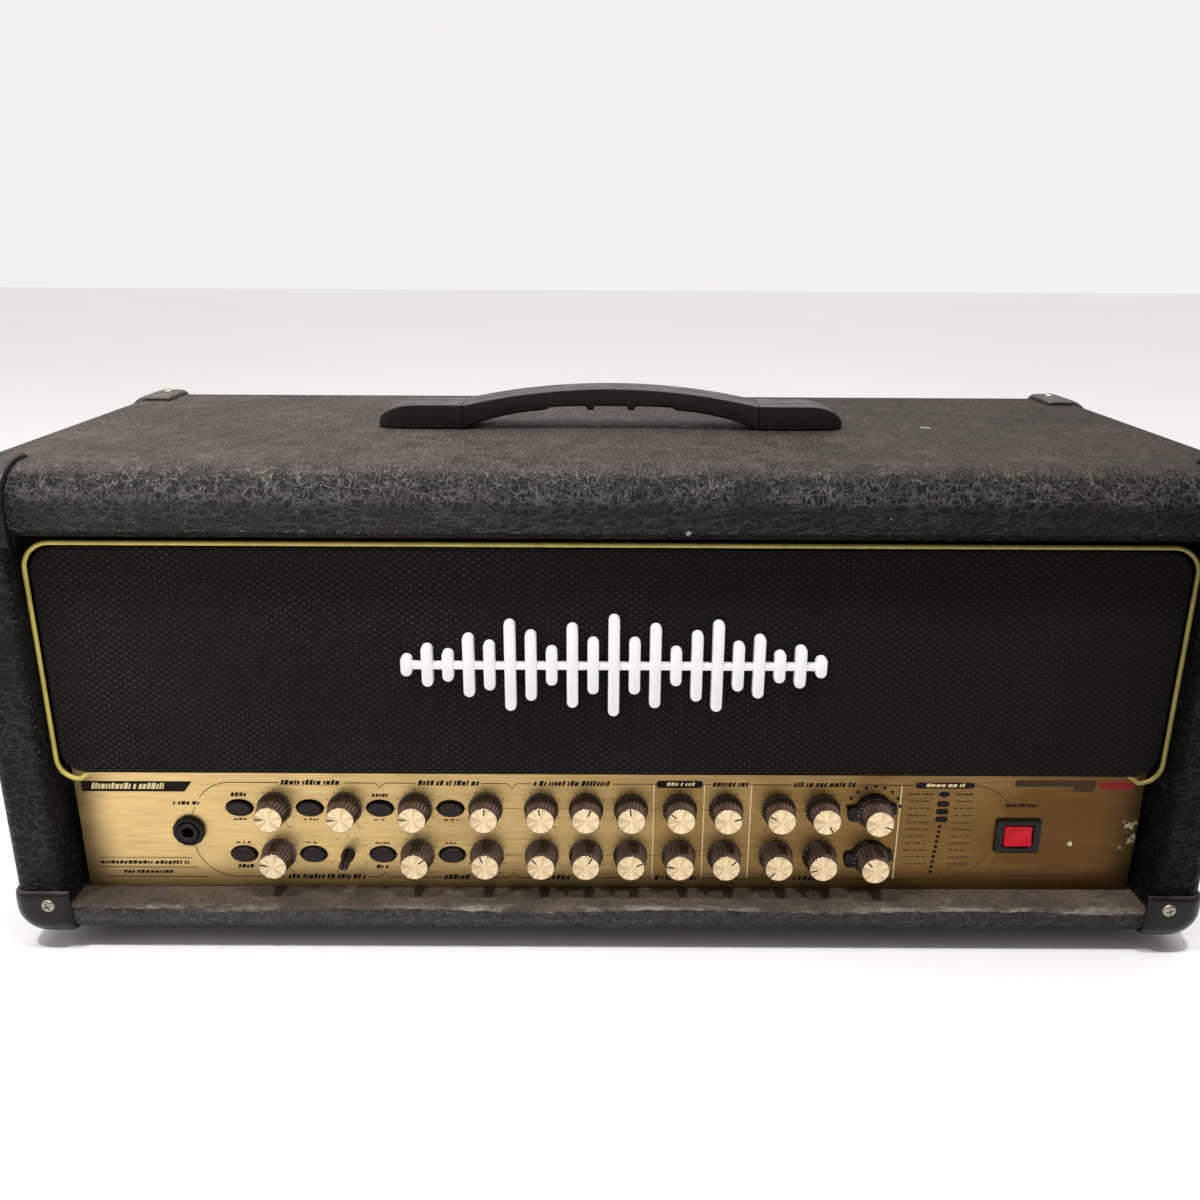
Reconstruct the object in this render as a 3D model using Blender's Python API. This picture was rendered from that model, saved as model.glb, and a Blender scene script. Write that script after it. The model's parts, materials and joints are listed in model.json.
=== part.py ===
"""A guitar amplifier head: a covered plywood cabinet, a recessed grille, a steel chassis
with a gold control panel, and the controls that turn, press and rock.

X runs along the width, the front faces -Y, +Z is up, and the origin is on the floor
under the middle of the cabinet. Lengths are in metres.
"""

import math

import bmesh
import bpy

# ---- driving dimensions -------------------------------------------------------------
WIDTH = 0.680
DEPTH = 0.280
BODY_HEIGHT = 0.272
FOOT_HEIGHT = 0.012
GAP = 0.0003
PAST = 0.001

FRONT = -DEPTH / 2
REAR = DEPTH / 2
BASE = FOOT_HEIGHT
TOP = BASE + BODY_HEIGHT

# cabinet
SIDE_BOARD = 0.018
CHEEK = 0.0285
FLOOR_BOARD = 0.0157
TOP_BOARD = 0.018
LIP_HEIGHT = 0.036
FRAME_DEPTH = 0.040
ROLL_RADIUS = 0.024
EDGE_RADIUS = 0.009
END_RADIUS = 0.007
CORNER_RADIUS = 0.011
MOUTH_RADIUS = 0.005
LEDGE = BASE + FLOOR_BOARD
OPENING_HALF = WIDTH / 2 - CHEEK
OPENING_TOP = TOP - LIP_HEIGHT
BATTEN = 0.0165

# rear panel
REAR_RECESS = 0.010
REAR_BOARD = 0.012
VENT_COUNT = 22
VENT_PITCH = 0.0165
VENT_WIDTH = 0.0075
VENT_LOW = BASE + 0.135
VENT_HIGH = BASE + 0.218

# grille
GRILLE_FACE = FRONT + 0.0107
GRILLE_THICKNESS = 0.009
PIPING_RADIUS = 0.0015
PIPING_HALF_WIDTH = 0.3094
PIPING_LOW = BASE + 0.0945
PIPING_HIGH = BASE + 0.2307
PIPING_CORNER = 0.016
BADGE_CENTRE = (0.0015, BASE + 0.1640)
BADGE_PROUD = 0.0055
BADGE_PITCH = 0.0112
BADGE_BAR_HALF = 0.0031
BADGE_SPINE_HALF = 0.0020
BADGE_HALF_HEIGHTS = [0.029, 0.016, 0.024, 0.011, 0.020, 0.026, 0.014, 0.018, 0.009, 0.012, 0.006]

# control panel
PANEL_FACE = FRONT + 0.0229
PANEL_THICKNESS = 0.002
PANEL_HALF_WIDTH = 0.3085
PANEL_TOP = BASE + 0.0965
UPPER_ROW = BASE + 0.0685
LOWER_ROW = BASE + 0.0380
COLUMN_PITCH = 0.0204
FIRST_BUTTON_X = -0.2147
BUTTON_COLUMNS = [FIRST_BUTTON_X + 2 * i * COLUMN_PITCH for i in range(4)]
CHANNEL_COLUMNS = [x + COLUMN_PITCH for x in BUTTON_COLUMNS]
TONE_COLUMNS = [-0.0396, -0.0136, 0.0124]
MASTER_COLUMNS = [0.0408, 0.0676]
EFFECT_COLUMNS = [0.0981, 0.1238, 0.1534]
KNOB_COLUMNS = CHANNEL_COLUMNS + TONE_COLUMNS + MASTER_COLUMNS + EFFECT_COLUMNS
BARE_SHAFT_COLUMN = 1
DUAL_COLUMN = len(KNOB_COLUMNS) - 1
JACK_X = -0.2451
JACK_Z = BASE + 0.0538
JACK_HOLE_RADIUS = 0.0051
JACK_BORE = 0.0034
JACK_PROUD = 0.0042
JACK_BODY_RADIUS = 0.0078
ROCKER_X = 0.2388
ROCKER_Z = BASE + 0.0525
BEZEL_HALF = (0.0133, 0.0109)
SWITCH_BODY_HALF = (0.0120, 0.0094)
WELL_HALF = (0.0084, 0.0070)
ROCKER_HALF = (0.0080, 0.0062)
BEZEL_PROUD = 0.0022
SWITCH_BODY_DEPTH = 0.018
WELL_DEPTH = 0.012
ROCKER_PIVOT_DEPTH = 0.0020
ROCKER_TILT = math.radians(8)

# knobs, buttons and the pots and switches behind them
SHAFT_RADIUS = 0.003
INNER_SHAFT_RADIUS = 0.0016
SHAFT_INSIDE = 0.0185
HOLE_CLEARANCE = 0.0006
KNOB_RADIUS = 0.0099
KNOB_CAP_RADIUS = 0.0081
KNOB_LENGTH = 0.0145
KNOB_BASE_BAND = 0.0014
BARE_SHAFT_LENGTH = 0.0140
RING_THICKNESS = 0.0027
RING_RADIUS = 0.0106
RING_SLEEVE_END = 0.0165
RING_TAB = (math.radians(188), 0.46, 0.0043)
RING_NUB = (math.radians(8), 0.34, 0.0024)
BUTTON_HALF = (0.0073, 0.0047)
BUTTON_PROUD = 0.0022
BUTTON_COLLAR_END = 0.0075
STEM_START = 0.0070
STEM_END = 0.0171
STEM_RADIUS = 0.0018
BOARD_FRONT = FRONT + 0.0450
BOARD_THICKNESS = 0.0016
POT_FRONT = FRONT + 0.0355
SWITCH_FRONT = FRONT + 0.0340
SOCKET_CLEARANCE = 0.0006
STEM_SOCKET_END = 0.0207
POT_HALF = (0.007, 0.008)
SWITCH_HALF = 0.0045
CONTROL_BOARD_ENDS = (-0.232, 0.170)
CONTROL_BOARD_LOW = BASE + 0.026
CONTROL_BOARD_HIGH = BASE + 0.082

# chassis
STEEL = 0.0015
CHASSIS_FRONT = PANEL_FACE + PANEL_THICKNESS + GAP
CHASSIS_BACK = REAR - 0.012
CHASSIS_HALF = 0.300
CHASSIS_LOW = LEDGE + GAP
CHASSIS_HIGH = BASE + 0.094
CHASSIS_FLOOR = CHASSIS_LOW + STEEL
WINDOW_HALF = 0.262
WINDOW_LOW = BASE + 0.026
WINDOW_HIGH = BASE + 0.084
INLET_X = 0.235
INLET_Z = BASE + 0.056
INLET_HOLE_HALF = (0.0145, 0.0105)
INLET_FLANGE_HALF = (0.0245, 0.0120)
INLET_FLANGE_PROUD = 0.0032
INLET_BODY_HALF = (0.0138, 0.0100)
INLET_BODY_DEPTH = 0.020
INLET_WELL_HALF = (0.0118, 0.0082)
INLET_WELL_DEPTH = 0.0165
INLET_PINS = ((-0.007, -0.0035), (0.0, 0.0), (0.007, -0.0035))
OUTPUT_JACKS = (-0.085, -0.050)
OUTPUT_Z = BASE + 0.056
OUTPUT_HOLE_RADIUS = 0.0055

# inside the chassis
MAIN_BOARD_X = (-0.280, 0.085)
MAIN_BOARD_Y = (FRONT + 0.072, REAR - 0.075)
MAIN_BOARD_LIFT = 0.010
POST_HALF = 0.003
POST_COLUMNS = (-0.272, -0.100, 0.077)
POST_ROWS = (FRONT + 0.080, REAR - 0.083)
TRANSFORMER = (0.205, 0.010)
CORE_HALF = (0.048, 0.024)
CORE_HEIGHT = 0.080
WINDING_HALF = (0.030, 0.040)
WINDING_MARGIN = 0.012
CORE_FOOT_HALF = (0.062, 0.012)
CORE_FOOT_THICKNESS = 0.003
HEAT_SINK_LEFT = -0.270
HEAT_SINK_HEIGHT = 0.062
FIN_COUNT = 12
FIN_PITCH = 0.0095
FIN_THICKNESS = 0.0025
FIN_BASE = 0.005
FIN_REACH = 0.032
VALVE = (-0.170, 0.000)
SOCKET_HEIGHT = 0.0090

# handle
HANDLE_HALF_LENGTH = 0.1428
STRAP_HALF_LENGTH = 0.0897
HANDLE_HALF_DEPTH = 0.0165
CAP_HEIGHT = 0.0150
STRAP_APEX = 0.0250
STRAP_UNDER = 0.0122
CAP_ROUND = 0.020
CAP_END_HEIGHT = 0.004
TONGUE = (0.022, 0.009, 0.0040)

# feet
FOOT_X = 0.217
FOOT_INSET = 0.040
FOOT_RADIUS = 0.018
FOOT_SCREW_WELL = 0.0045


# ---- small tools --------------------------------------------------------------------
def clear_scene():
    for obj in list(bpy.data.objects):
        bpy.data.objects.remove(obj, do_unlink=True)


def material(name, colour, roughness, metallic=0.0):
    made = bpy.data.materials.new(name)
    made.use_nodes = True
    shader = made.node_tree.nodes["Principled BSDF"]
    shader.inputs["Base Color"].default_value = (*colour, 1.0)
    shader.inputs["Roughness"].default_value = roughness
    shader.inputs["Metallic"].default_value = metallic
    made.diffuse_color = (*colour, 1.0)
    return made


def place(name, mesh, look=None, at=(0, 0, 0), smooth=True):
    """An object from a bmesh, with its faces turned outwards and its origin at `at`."""
    bmesh.ops.recalc_face_normals(mesh, faces=mesh.faces)
    data = bpy.data.meshes.new(name)
    mesh.to_mesh(data)
    mesh.free()
    if smooth:
        data.shade_smooth()
        data.set_sharp_from_angle(angle=math.radians(35))
    if look:
        data.materials.append(look)
    obj = bpy.data.objects.new(name, data)
    obj.location = at
    bpy.context.scene.collection.objects.link(obj)
    return obj


def helper(name, mesh):
    """A cutter or a shape to be joined, which is no part itself."""
    obj = place(name, mesh, smooth=False)
    obj.hide_render = True
    obj.display_type = "WIRE"
    return obj


def combine(target, other, operation):
    modifier = target.modifiers.new(other.name, "BOOLEAN")
    modifier.operation = operation
    modifier.object = other


def loft(mesh, sections):
    """A closed skin over rings of points with the same count, with flat ends."""
    rings = [[mesh.verts.new(p) for p in section] for section in sections]
    count = len(rings[0])
    for low, high in zip(rings, rings[1:]):
        for i in range(count):
            j = (i + 1) % count
            mesh.faces.new((low[i], low[j], high[j], high[i]))
    mesh.faces.new(rings[0][::-1])
    mesh.faces.new(rings[-1])


def box(low, high, mesh=None):
    mesh = mesh or bmesh.new()
    (x0, y0, z0), (x1, y1, z1) = low, high
    loft(
        mesh,
        [
            [(x0, y0, z), (x1, y0, z), (x1, y1, z), (x0, y1, z)]
            for z in (z0, z1)
        ],
    )
    return mesh


def prism_y(outline, y0, y1, mesh=None):
    """An outline of (x, z) points pulled along Y."""
    mesh = mesh or bmesh.new()
    loft(mesh, [[(x, y, z) for x, z in outline] for y in (y0, y1)])
    return mesh


def circle(radius, count, at=(0.0, 0.0), flat=1.0):
    """Points of a circle, or of an oval whose second radius is `flat` times the first."""
    turns = (2 * math.pi * (i + 0.5) / count for i in range(count))
    return [
        (at[0] + radius * math.cos(t), at[1] + flat * radius * math.sin(t))
        for t in turns
    ]


def turned_y(profile, count, mesh=None, flat=1.0):
    """A solid turned about Y from (radius, y) points, pushed in along Z by `flat`."""
    mesh = mesh or bmesh.new()
    loft(
        mesh,
        [
            [(x, y, z) for x, z in circle(radius, count, flat=flat)]
            for radius, y in profile
        ],
    )
    return mesh


def bored_y(outer, inner, count, reach=None):
    """A turned piece with a hole along Y. Both profiles run from the front to the back.

    `reach` gives the outer radius at an angle in place of a profile radius of None.
    """
    mesh = bmesh.new()
    path = outer + inner[::-1]
    rings = []
    for radius, y in path:
        ring = []
        for i in range(count):
            turn = 2 * math.pi * i / count
            r = reach(turn) if radius is None else radius
            ring.append(mesh.verts.new((r * math.cos(turn), y, r * math.sin(turn))))
        rings.append(ring)
    for low, high in zip(rings, rings[1:] + rings[:1]):
        for i in range(count):
            j = (i + 1) % count
            mesh.faces.new((low[i], low[j], high[j], high[i]))
    return mesh


def rounded_rectangle(low, high, radii, steps):
    """Corner arcs of a rectangle, anticlockwise from its lower left corner."""
    (u0, v0), (u1, v1) = low, high
    corners = ((u0, v0, 1, 1), (u1, v0, -1, 1), (u1, v1, -1, -1), (u0, v1, 1, -1))
    points = []
    for k, ((u, v, du, dv), radius) in enumerate(zip(corners, radii)):
        centre = (u + du * radius, v + dv * radius)
        for s in range(steps + 1):
            turn = math.pi * (1 + k / 2) + math.pi / 2 * s / steps
            points.append(
                (centre[0] + radius * math.cos(turn), centre[1] + radius * math.sin(turn))
            )
    return points


# ---- cabinet ------------------------------------------------------------------------
def edge_inset(radius, depth):
    """How far a round edge of this radius draws in, at this depth behind its face."""
    if depth >= radius:
        return 0.0
    return radius - math.sqrt(radius**2 - (radius - depth) ** 2)


def cabinet_outside():
    """A block with a large roll along its upper front edge and round corners."""
    turns = [math.pi / 2 * i / 5 for i in range(6)]
    front = [ROLL_RADIUS * (1 - math.cos(turn)) for turn in turns]
    rear = [EDGE_RADIUS * (1 - math.cos(turn)) for turn in turns]
    stations = [(FRONT + depth, depth, ROLL_RADIUS) for depth in front]
    stations += [(REAR - depth, depth, EDGE_RADIUS) for depth in rear[::-1]]
    sections = []
    for y, depth, top_radius in stations:
        side = edge_inset(END_RADIUS, depth)
        outline = rounded_rectangle(
            (side - WIDTH / 2, BASE + edge_inset(EDGE_RADIUS, depth)),
            (WIDTH / 2 - side, TOP - edge_inset(top_radius, depth)),
            [CORNER_RADIUS - side] * 4,
            6,
        )
        sections.append([(x, y, z) for x, z in outline])
    mesh = bmesh.new()
    loft(mesh, sections)
    return mesh


def front_mouth():
    """The recess that the grille and the panel sit in, flared by its rounded rim."""
    steps = 3
    rim = [(-2 * PAST, MOUTH_RADIUS)]
    for i in range(steps + 1):
        turn = math.pi / 2 * i / steps
        rim.append(
            (MOUTH_RADIUS * (1 - math.cos(turn)), MOUTH_RADIUS * (1 - math.sin(turn)))
        )
    back = GRILLE_FACE - FRONT + GRILLE_THICKNESS + GAP
    rim.append((back, 0.0))
    mesh = bmesh.new()
    sections = []
    for y, grow in rim:
        x = OPENING_HALF + grow
        low, high = LEDGE - grow, OPENING_TOP + grow
        corners = ((-x, low), (x, low), (x, high), (-x, high))
        sections.append([(u, FRONT + y, v) for u, v in corners])
    loft(mesh, sections)
    return mesh


def make_cabinet(look):
    """The shell: a window behind the grille, a rail under it, and the panel's opening."""
    shell = place("cabinet_shell", cabinet_outside(), look)
    behind_grille = GRILLE_FACE + GRILLE_THICKNESS
    window_half = OPENING_HALF - BATTEN
    frame_back = FRONT + FRAME_DEPTH
    inner_half = WIDTH / 2 - SIDE_BOARD
    cuts = (
        ("mouth_cut", front_mouth()),
        (
            "grille_window_cut",
            box(
                (-window_half, behind_grille, PIPING_LOW + BATTEN),
                (window_half, frame_back + PAST, OPENING_TOP - BATTEN),
            ),
        ),
        (
            "panel_window_cut",
            box(
                (-OPENING_HALF, behind_grille, LEDGE),
                (OPENING_HALF, frame_back + PAST, PANEL_TOP + GAP),
            ),
        ),
        (
            "inside_cut",
            box((-inner_half, frame_back, LEDGE), (inner_half, REAR + PAST, TOP - TOP_BOARD)),
        ),
    )
    for name, mesh in cuts:
        combine(shell, helper(name, mesh), "DIFFERENCE")


def make_rear_panel(look):
    """A recessed board above the chassis, with a row of upright vent slots."""
    half = WIDTH / 2 - SIDE_BOARD - 2 * GAP
    low = CHASSIS_HIGH + 0.008
    high = TOP - TOP_BOARD - 2 * GAP
    front = REAR - REAR_RECESS - REAR_BOARD
    panel = place("rear_panel", box((-half, front, low), (half, REAR - REAR_RECESS, high)), look)
    slots = bmesh.new()
    for i in range(VENT_COUNT):
        x = (i - (VENT_COUNT - 1) / 2) * VENT_PITCH
        box(
            (x - VENT_WIDTH / 2, front - PAST, VENT_LOW),
            (x + VENT_WIDTH / 2, REAR, VENT_HIGH),
            slots,
        )
    combine(panel, helper("vent_slots", slots), "DIFFERENCE")


def make_feet(look):
    profile = [
        (FOOT_SCREW_WELL, FOOT_SCREW_WELL),
        (FOOT_SCREW_WELL, 0.0),
        (FOOT_RADIUS - 0.002, 0.0),
        (FOOT_RADIUS, 0.002),
        (FOOT_RADIUS - 0.0012, FOOT_HEIGHT - GAP),
    ]
    for side, x in (("left", -FOOT_X), ("right", FOOT_X)):
        for end, y in (("front", FRONT + FOOT_INSET), ("rear", REAR - FOOT_INSET)):
            mesh = bmesh.new()
            loft(mesh, [[(u, v, z) for u, v in circle(r, 16)] for r, z in profile])
            place(f"foot_{end}_{side}", mesh, look, at=(x, y, 0.0))


# ---- grille -------------------------------------------------------------------------
def grille_outline(inset, steps):
    corner = PIPING_CORNER - inset
    return rounded_rectangle(
        (-PIPING_HALF_WIDTH + inset, PIPING_LOW + inset),
        (PIPING_HALF_WIDTH - inset, PIPING_HIGH - inset),
        [corner] * 4,
        steps,
    )


def make_grille(cloth, gold, white):
    inset = PIPING_RADIUS + GAP
    place(
        "grille_board",
        prism_y(grille_outline(inset, 5), GRILLE_FACE, GRILLE_FACE + GRILLE_THICKNESS),
        cloth,
    )
    place("grille_piping", piping_mesh(), gold)
    place("name_badge", badge_mesh(), white)


def piping_mesh():
    """A closed bead of round section that follows the edge of the grille."""
    mesh = bmesh.new()
    sides = 6
    rings = []
    for k in range(sides):
        turn = 2 * math.pi * k / sides
        inset = PIPING_RADIUS * math.cos(turn)
        y = GRILLE_FACE + PIPING_RADIUS * math.sin(turn)
        rings.append([mesh.verts.new((x, y, z)) for x, z in grille_outline(inset, 5)])
    count = len(rings[0])
    for low, high in zip(rings, rings[1:] + rings[:1]):
        for i in range(count):
            j = (i + 1) % count
            mesh.faces.new((low[i], low[j], high[j], high[i]))
    return mesh


def badge_mesh():
    """A plain emblem of upright bars on one spine, standing on the grille cloth."""
    centre_x, centre_z = BADGE_CENTRE
    bar_half, spine_half = BADGE_BAR_HALF, BADGE_SPINE_HALF
    half_heights = BADGE_HALF_HEIGHTS[:0:-1] + BADGE_HALF_HEIGHTS
    middle = len(BADGE_HALF_HEIGHTS) - 1
    upper = []
    for i, half in enumerate(half_heights):
        x = centre_x + (i - middle) * BADGE_PITCH
        upper += [
            (x - bar_half, spine_half),
            (x - bar_half, half),
            (x + bar_half, half),
            (x + bar_half, spine_half),
        ]
    outline = [(x, centre_z + h) for x, h in upper]
    outline += [(x, centre_z - h) for x, h in upper[::-1]]
    return prism_y(outline, GRILLE_FACE - BADGE_PROUD, GRILLE_FACE - GAP)


# ---- control panel and controls -----------------------------------------------------
def make_front_panel(gold):
    panel = place(
        "front_panel",
        box(
            (-PANEL_HALF_WIDTH, PANEL_FACE, LEDGE + GAP),
            (PANEL_HALF_WIDTH, PANEL_FACE + PANEL_THICKNESS, PANEL_TOP),
        ),
        gold,
    )
    y0, y1 = PANEL_FACE - PAST, PANEL_FACE + PANEL_THICKNESS + PAST
    holes = bmesh.new()
    for z in (UPPER_ROW, LOWER_ROW):
        for x in KNOB_COLUMNS:
            prism_y(circle(SHAFT_RADIUS + HOLE_CLEARANCE, 10, (x, z)), y0, y1, holes)
        for x in BUTTON_COLUMNS:
            half_x, half_z = BUTTON_HALF
            grown = half_x + HOLE_CLEARANCE
            flat = (half_z + HOLE_CLEARANCE) / grown
            prism_y(circle(grown, 16, (x, z), flat), y0, y1, holes)
    prism_y(circle(JACK_HOLE_RADIUS, 12, (JACK_X, JACK_Z)), y0, y1, holes)
    half_x, half_z = (half + HOLE_CLEARANCE for half in SWITCH_BODY_HALF)
    box((ROCKER_X - half_x, y0, ROCKER_Z - half_z), (ROCKER_X + half_x, y1, ROCKER_Z + half_z), holes)
    combine(panel, helper("panel_holes", holes), "DIFFERENCE")


def knob_mesh(lift):
    """A fluted push-on knob with its shaft. `lift` raises it off the panel, over a ring."""
    near = -GAP - lift
    shaft = INNER_SHAFT_RADIUS if lift else SHAFT_RADIUS
    face = -KNOB_LENGTH - 0.7 * lift
    profile = [
        (shaft, SHAFT_INSIDE),
        (shaft, near),
        (KNOB_RADIUS, near),
        (KNOB_RADIUS, near - KNOB_BASE_BAND),
        (KNOB_CAP_RADIUS, face + 0.0008),
        (KNOB_CAP_RADIUS - 0.0006, face),
    ]
    return turned_y(profile, 14)


def shaft_mesh():
    """A pot shaft that has lost its knob: round, with a chamfered end."""
    profile = [
        (SHAFT_RADIUS, SHAFT_INSIDE),
        (SHAFT_RADIUS, 0.0007 - BARE_SHAFT_LENGTH),
        (SHAFT_RADIUS - 0.0006, -BARE_SHAFT_LENGTH),
    ]
    return turned_y(profile, 12)


def ring_reach(turn):
    """The ring's outer radius: round, with a finger tab to the left and a nub opposite."""
    for middle, width, extra in (RING_TAB, RING_NUB):
        away = abs((turn - middle + math.pi) % (2 * math.pi) - math.pi)
        if away < width:
            return RING_RADIUS + extra
    return RING_RADIUS


def ring_mesh():
    """The outer ring of a dual control, with the sleeve that runs into its pot."""
    near, far = -GAP, -RING_THICKNESS
    bore = INNER_SHAFT_RADIUS + 0.0004
    outer = [(None, far), (None, near), (SHAFT_RADIUS, near), (SHAFT_RADIUS, RING_SLEEVE_END)]
    inner = [(bore, far), (bore, RING_SLEEVE_END)]
    return bored_y(outer, inner, 28, ring_reach)


def button_mesh():
    """An oval push cap, solid to its collar, with a round stem into the switch."""
    half_x, half_z = BUTTON_HALF
    flat = half_z / half_x
    profile = [
        (half_x * 0.80, -BUTTON_PROUD),
        (half_x, -BUTTON_PROUD + 0.0012),
        (half_x, BUTTON_COLLAR_END),
    ]
    return turned_y(profile, 16, flat=flat)


def make_knobs(dark):
    rows = (("upper", UPPER_ROW), ("lower", LOWER_ROW))
    for row, z in rows:
        for i, x in enumerate(KNOB_COLUMNS):
            at = (x, PANEL_FACE, z)
            number = i + 1
            if row == "lower" and i == BARE_SHAFT_COLUMN:
                place(f"pot_shaft_{row}_{number:02d}", shaft_mesh(), dark, at)
                continue
            dual = i == DUAL_COLUMN
            lift = RING_THICKNESS + GAP if dual else 0.0
            place(f"knob_{row}_{number:02d}", knob_mesh(lift), dark, at)
            if dual:
                place(f"selector_ring_{row}", ring_mesh(), dark, at)


def make_buttons(dark):
    for row, z in (("upper", UPPER_ROW), ("lower", LOWER_ROW)):
        for i, x in enumerate(BUTTON_COLUMNS):
            at = (x, PANEL_FACE, z)
            button = place(f"button_{row}_{i + 1}", button_mesh(), dark, at)
            stem = helper(
                f"stem_{row}_{i + 1}",
                turned_y([(STEM_RADIUS, STEM_START), (STEM_RADIUS, STEM_END)], 8),
            )
            stem.location = at
            combine(button, stem, "UNION")


def jack_mesh(barrel_radius, nut_radius, wall, inside):
    """A quarter-inch socket: nut in front of a wall, barrel through it, body behind."""
    behind = wall + GAP
    outer = [
        (nut_radius - 0.0008, -JACK_PROUD),
        (nut_radius, 0.0008 - JACK_PROUD),
        (nut_radius, -GAP),
        (barrel_radius, -GAP),
        (barrel_radius, behind),
        (JACK_BODY_RADIUS, behind),
        (JACK_BODY_RADIUS, inside),
    ]
    inner = [(JACK_BORE, -JACK_PROUD), (JACK_BORE, inside)]
    return bored_y(outer, inner, 12)


def make_input_jack(dark):
    place(
        "input_jack",
        jack_mesh(0.0048, 0.0094, PANEL_THICKNESS, 0.0205),
        dark,
        (JACK_X, PANEL_FACE, JACK_Z),
    )


def switch_box(half, y0, y1):
    """A block centred on the power switch, between two distances from the panel's face."""
    half_x, half_z = half
    low = (ROCKER_X - half_x, PANEL_FACE + y0, ROCKER_Z - half_z)
    high = (ROCKER_X + half_x, PANEL_FACE + y1, ROCKER_Z + half_z)
    return box(low, high)


def make_power_switch(dark, red):
    bezel = place("rocker_housing", switch_box(BEZEL_HALF, -BEZEL_PROUD, -GAP), dark)
    body = switch_box(SWITCH_BODY_HALF, -BEZEL_PROUD / 2, SWITCH_BODY_DEPTH)
    well = switch_box(WELL_HALF, -2 * BEZEL_PROUD, WELL_DEPTH)
    combine(bezel, helper("rocker_body", body), "UNION")
    combine(bezel, helper("rocker_well", well), "DIFFERENCE")
    place("power_rocker", rocker_mesh(), red, (ROCKER_X, PANEL_FACE + ROCKER_PIVOT_DEPTH, ROCKER_Z))


def rocker_mesh():
    """A hollow-faced rocker with a keel behind its pivot, tipped to one side."""
    half_width, half_height = ROCKER_HALF
    outline = [
        (-0.0048, -half_height),
        (-0.0040, 0.0),
        (-0.0048, half_height),
        (0.0030, 0.85 * half_height),
        (0.0052, 0.0),
        (0.0030, -0.85 * half_height),
    ]
    mesh = bmesh.new()
    turned = [
        (
            y * math.cos(ROCKER_TILT) + v * math.sin(ROCKER_TILT),
            v * math.cos(ROCKER_TILT) - y * math.sin(ROCKER_TILT),
        )
        for y, v in outline
    ]
    loft(mesh, [[(side, y, v) for y, v in turned] for side in (-half_width, half_width)])
    return mesh


# ---- inside -------------------------------------------------------------------------
def make_control_board(green):
    """The circuit board with the pots and push switches that are soldered to it."""
    board = place(
        "control_board",
        box(
            (CONTROL_BOARD_ENDS[0], BOARD_FRONT, CONTROL_BOARD_LOW),
            (CONTROL_BOARD_ENDS[1], BOARD_FRONT + BOARD_THICKNESS, CONTROL_BOARD_HIGH),
        ),
        green,
    )
    bodies, sockets = bmesh.new(), bmesh.new()
    into = BOARD_FRONT + 2 * GAP
    pot_x, pot_z = POT_HALF
    side = SWITCH_HALF
    for z in (UPPER_ROW, LOWER_ROW):
        for x in KNOB_COLUMNS:
            box((x - pot_x, POT_FRONT, z - pot_z), (x + pot_x, into, z + pot_z), bodies)
            hole = circle(SHAFT_RADIUS + SOCKET_CLEARANCE, 8, (x, z))
            prism_y(hole, POT_FRONT - PAST, PANEL_FACE + SHAFT_INSIDE + PAST, sockets)
        for x in BUTTON_COLUMNS:
            box((x - side, SWITCH_FRONT, z - side), (x + side, into, z + side), bodies)
            hole = circle(STEM_RADIUS + SOCKET_CLEARANCE, 8, (x, z))
            prism_y(hole, SWITCH_FRONT - PAST, PANEL_FACE + STEM_SOCKET_END, sockets)
    combine(board, helper("pot_bodies", bodies), "UNION")
    combine(board, helper("shaft_sockets", sockets), "DIFFERENCE")


def make_chassis(steel):
    tray = place(
        "chassis",
        box((-CHASSIS_HALF, CHASSIS_FRONT, CHASSIS_LOW), (CHASSIS_HALF, CHASSIS_BACK, CHASSIS_HIGH)),
        steel,
    )
    inside = box(
        (-CHASSIS_HALF + STEEL, CHASSIS_FRONT + STEEL, CHASSIS_FLOOR),
        (CHASSIS_HALF - STEEL, CHASSIS_BACK - STEEL, CHASSIS_HIGH + PAST),
    )
    window = box(
        (-WINDOW_HALF, CHASSIS_FRONT - PAST, WINDOW_LOW),
        (WINDOW_HALF, CHASSIS_FRONT + STEEL + PAST, WINDOW_HIGH),
    )
    holes = bmesh.new()
    y0, y1 = CHASSIS_BACK - STEEL - PAST, CHASSIS_BACK + PAST
    inlet_box(INLET_HOLE_HALF, y0, y1, holes)
    for x in OUTPUT_JACKS:
        prism_y(circle(OUTPUT_HOLE_RADIUS, 12, (x, OUTPUT_Z)), y0, y1, holes)
    combine(tray, helper("tray_inside", inside), "DIFFERENCE")
    combine(tray, helper("tray_window", window), "DIFFERENCE")
    combine(tray, helper("tray_holes", holes), "DIFFERENCE")


def inlet_box(half, y0, y1, mesh=None, at=(0.0, 0.0)):
    """A block centred on the mains inlet, or on a place measured from its centre."""
    x, z = INLET_X + at[0], INLET_Z + at[1]
    return box((x - half[0], y0, z - half[1]), (x + half[0], y1, z + half[1]), mesh)


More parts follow.
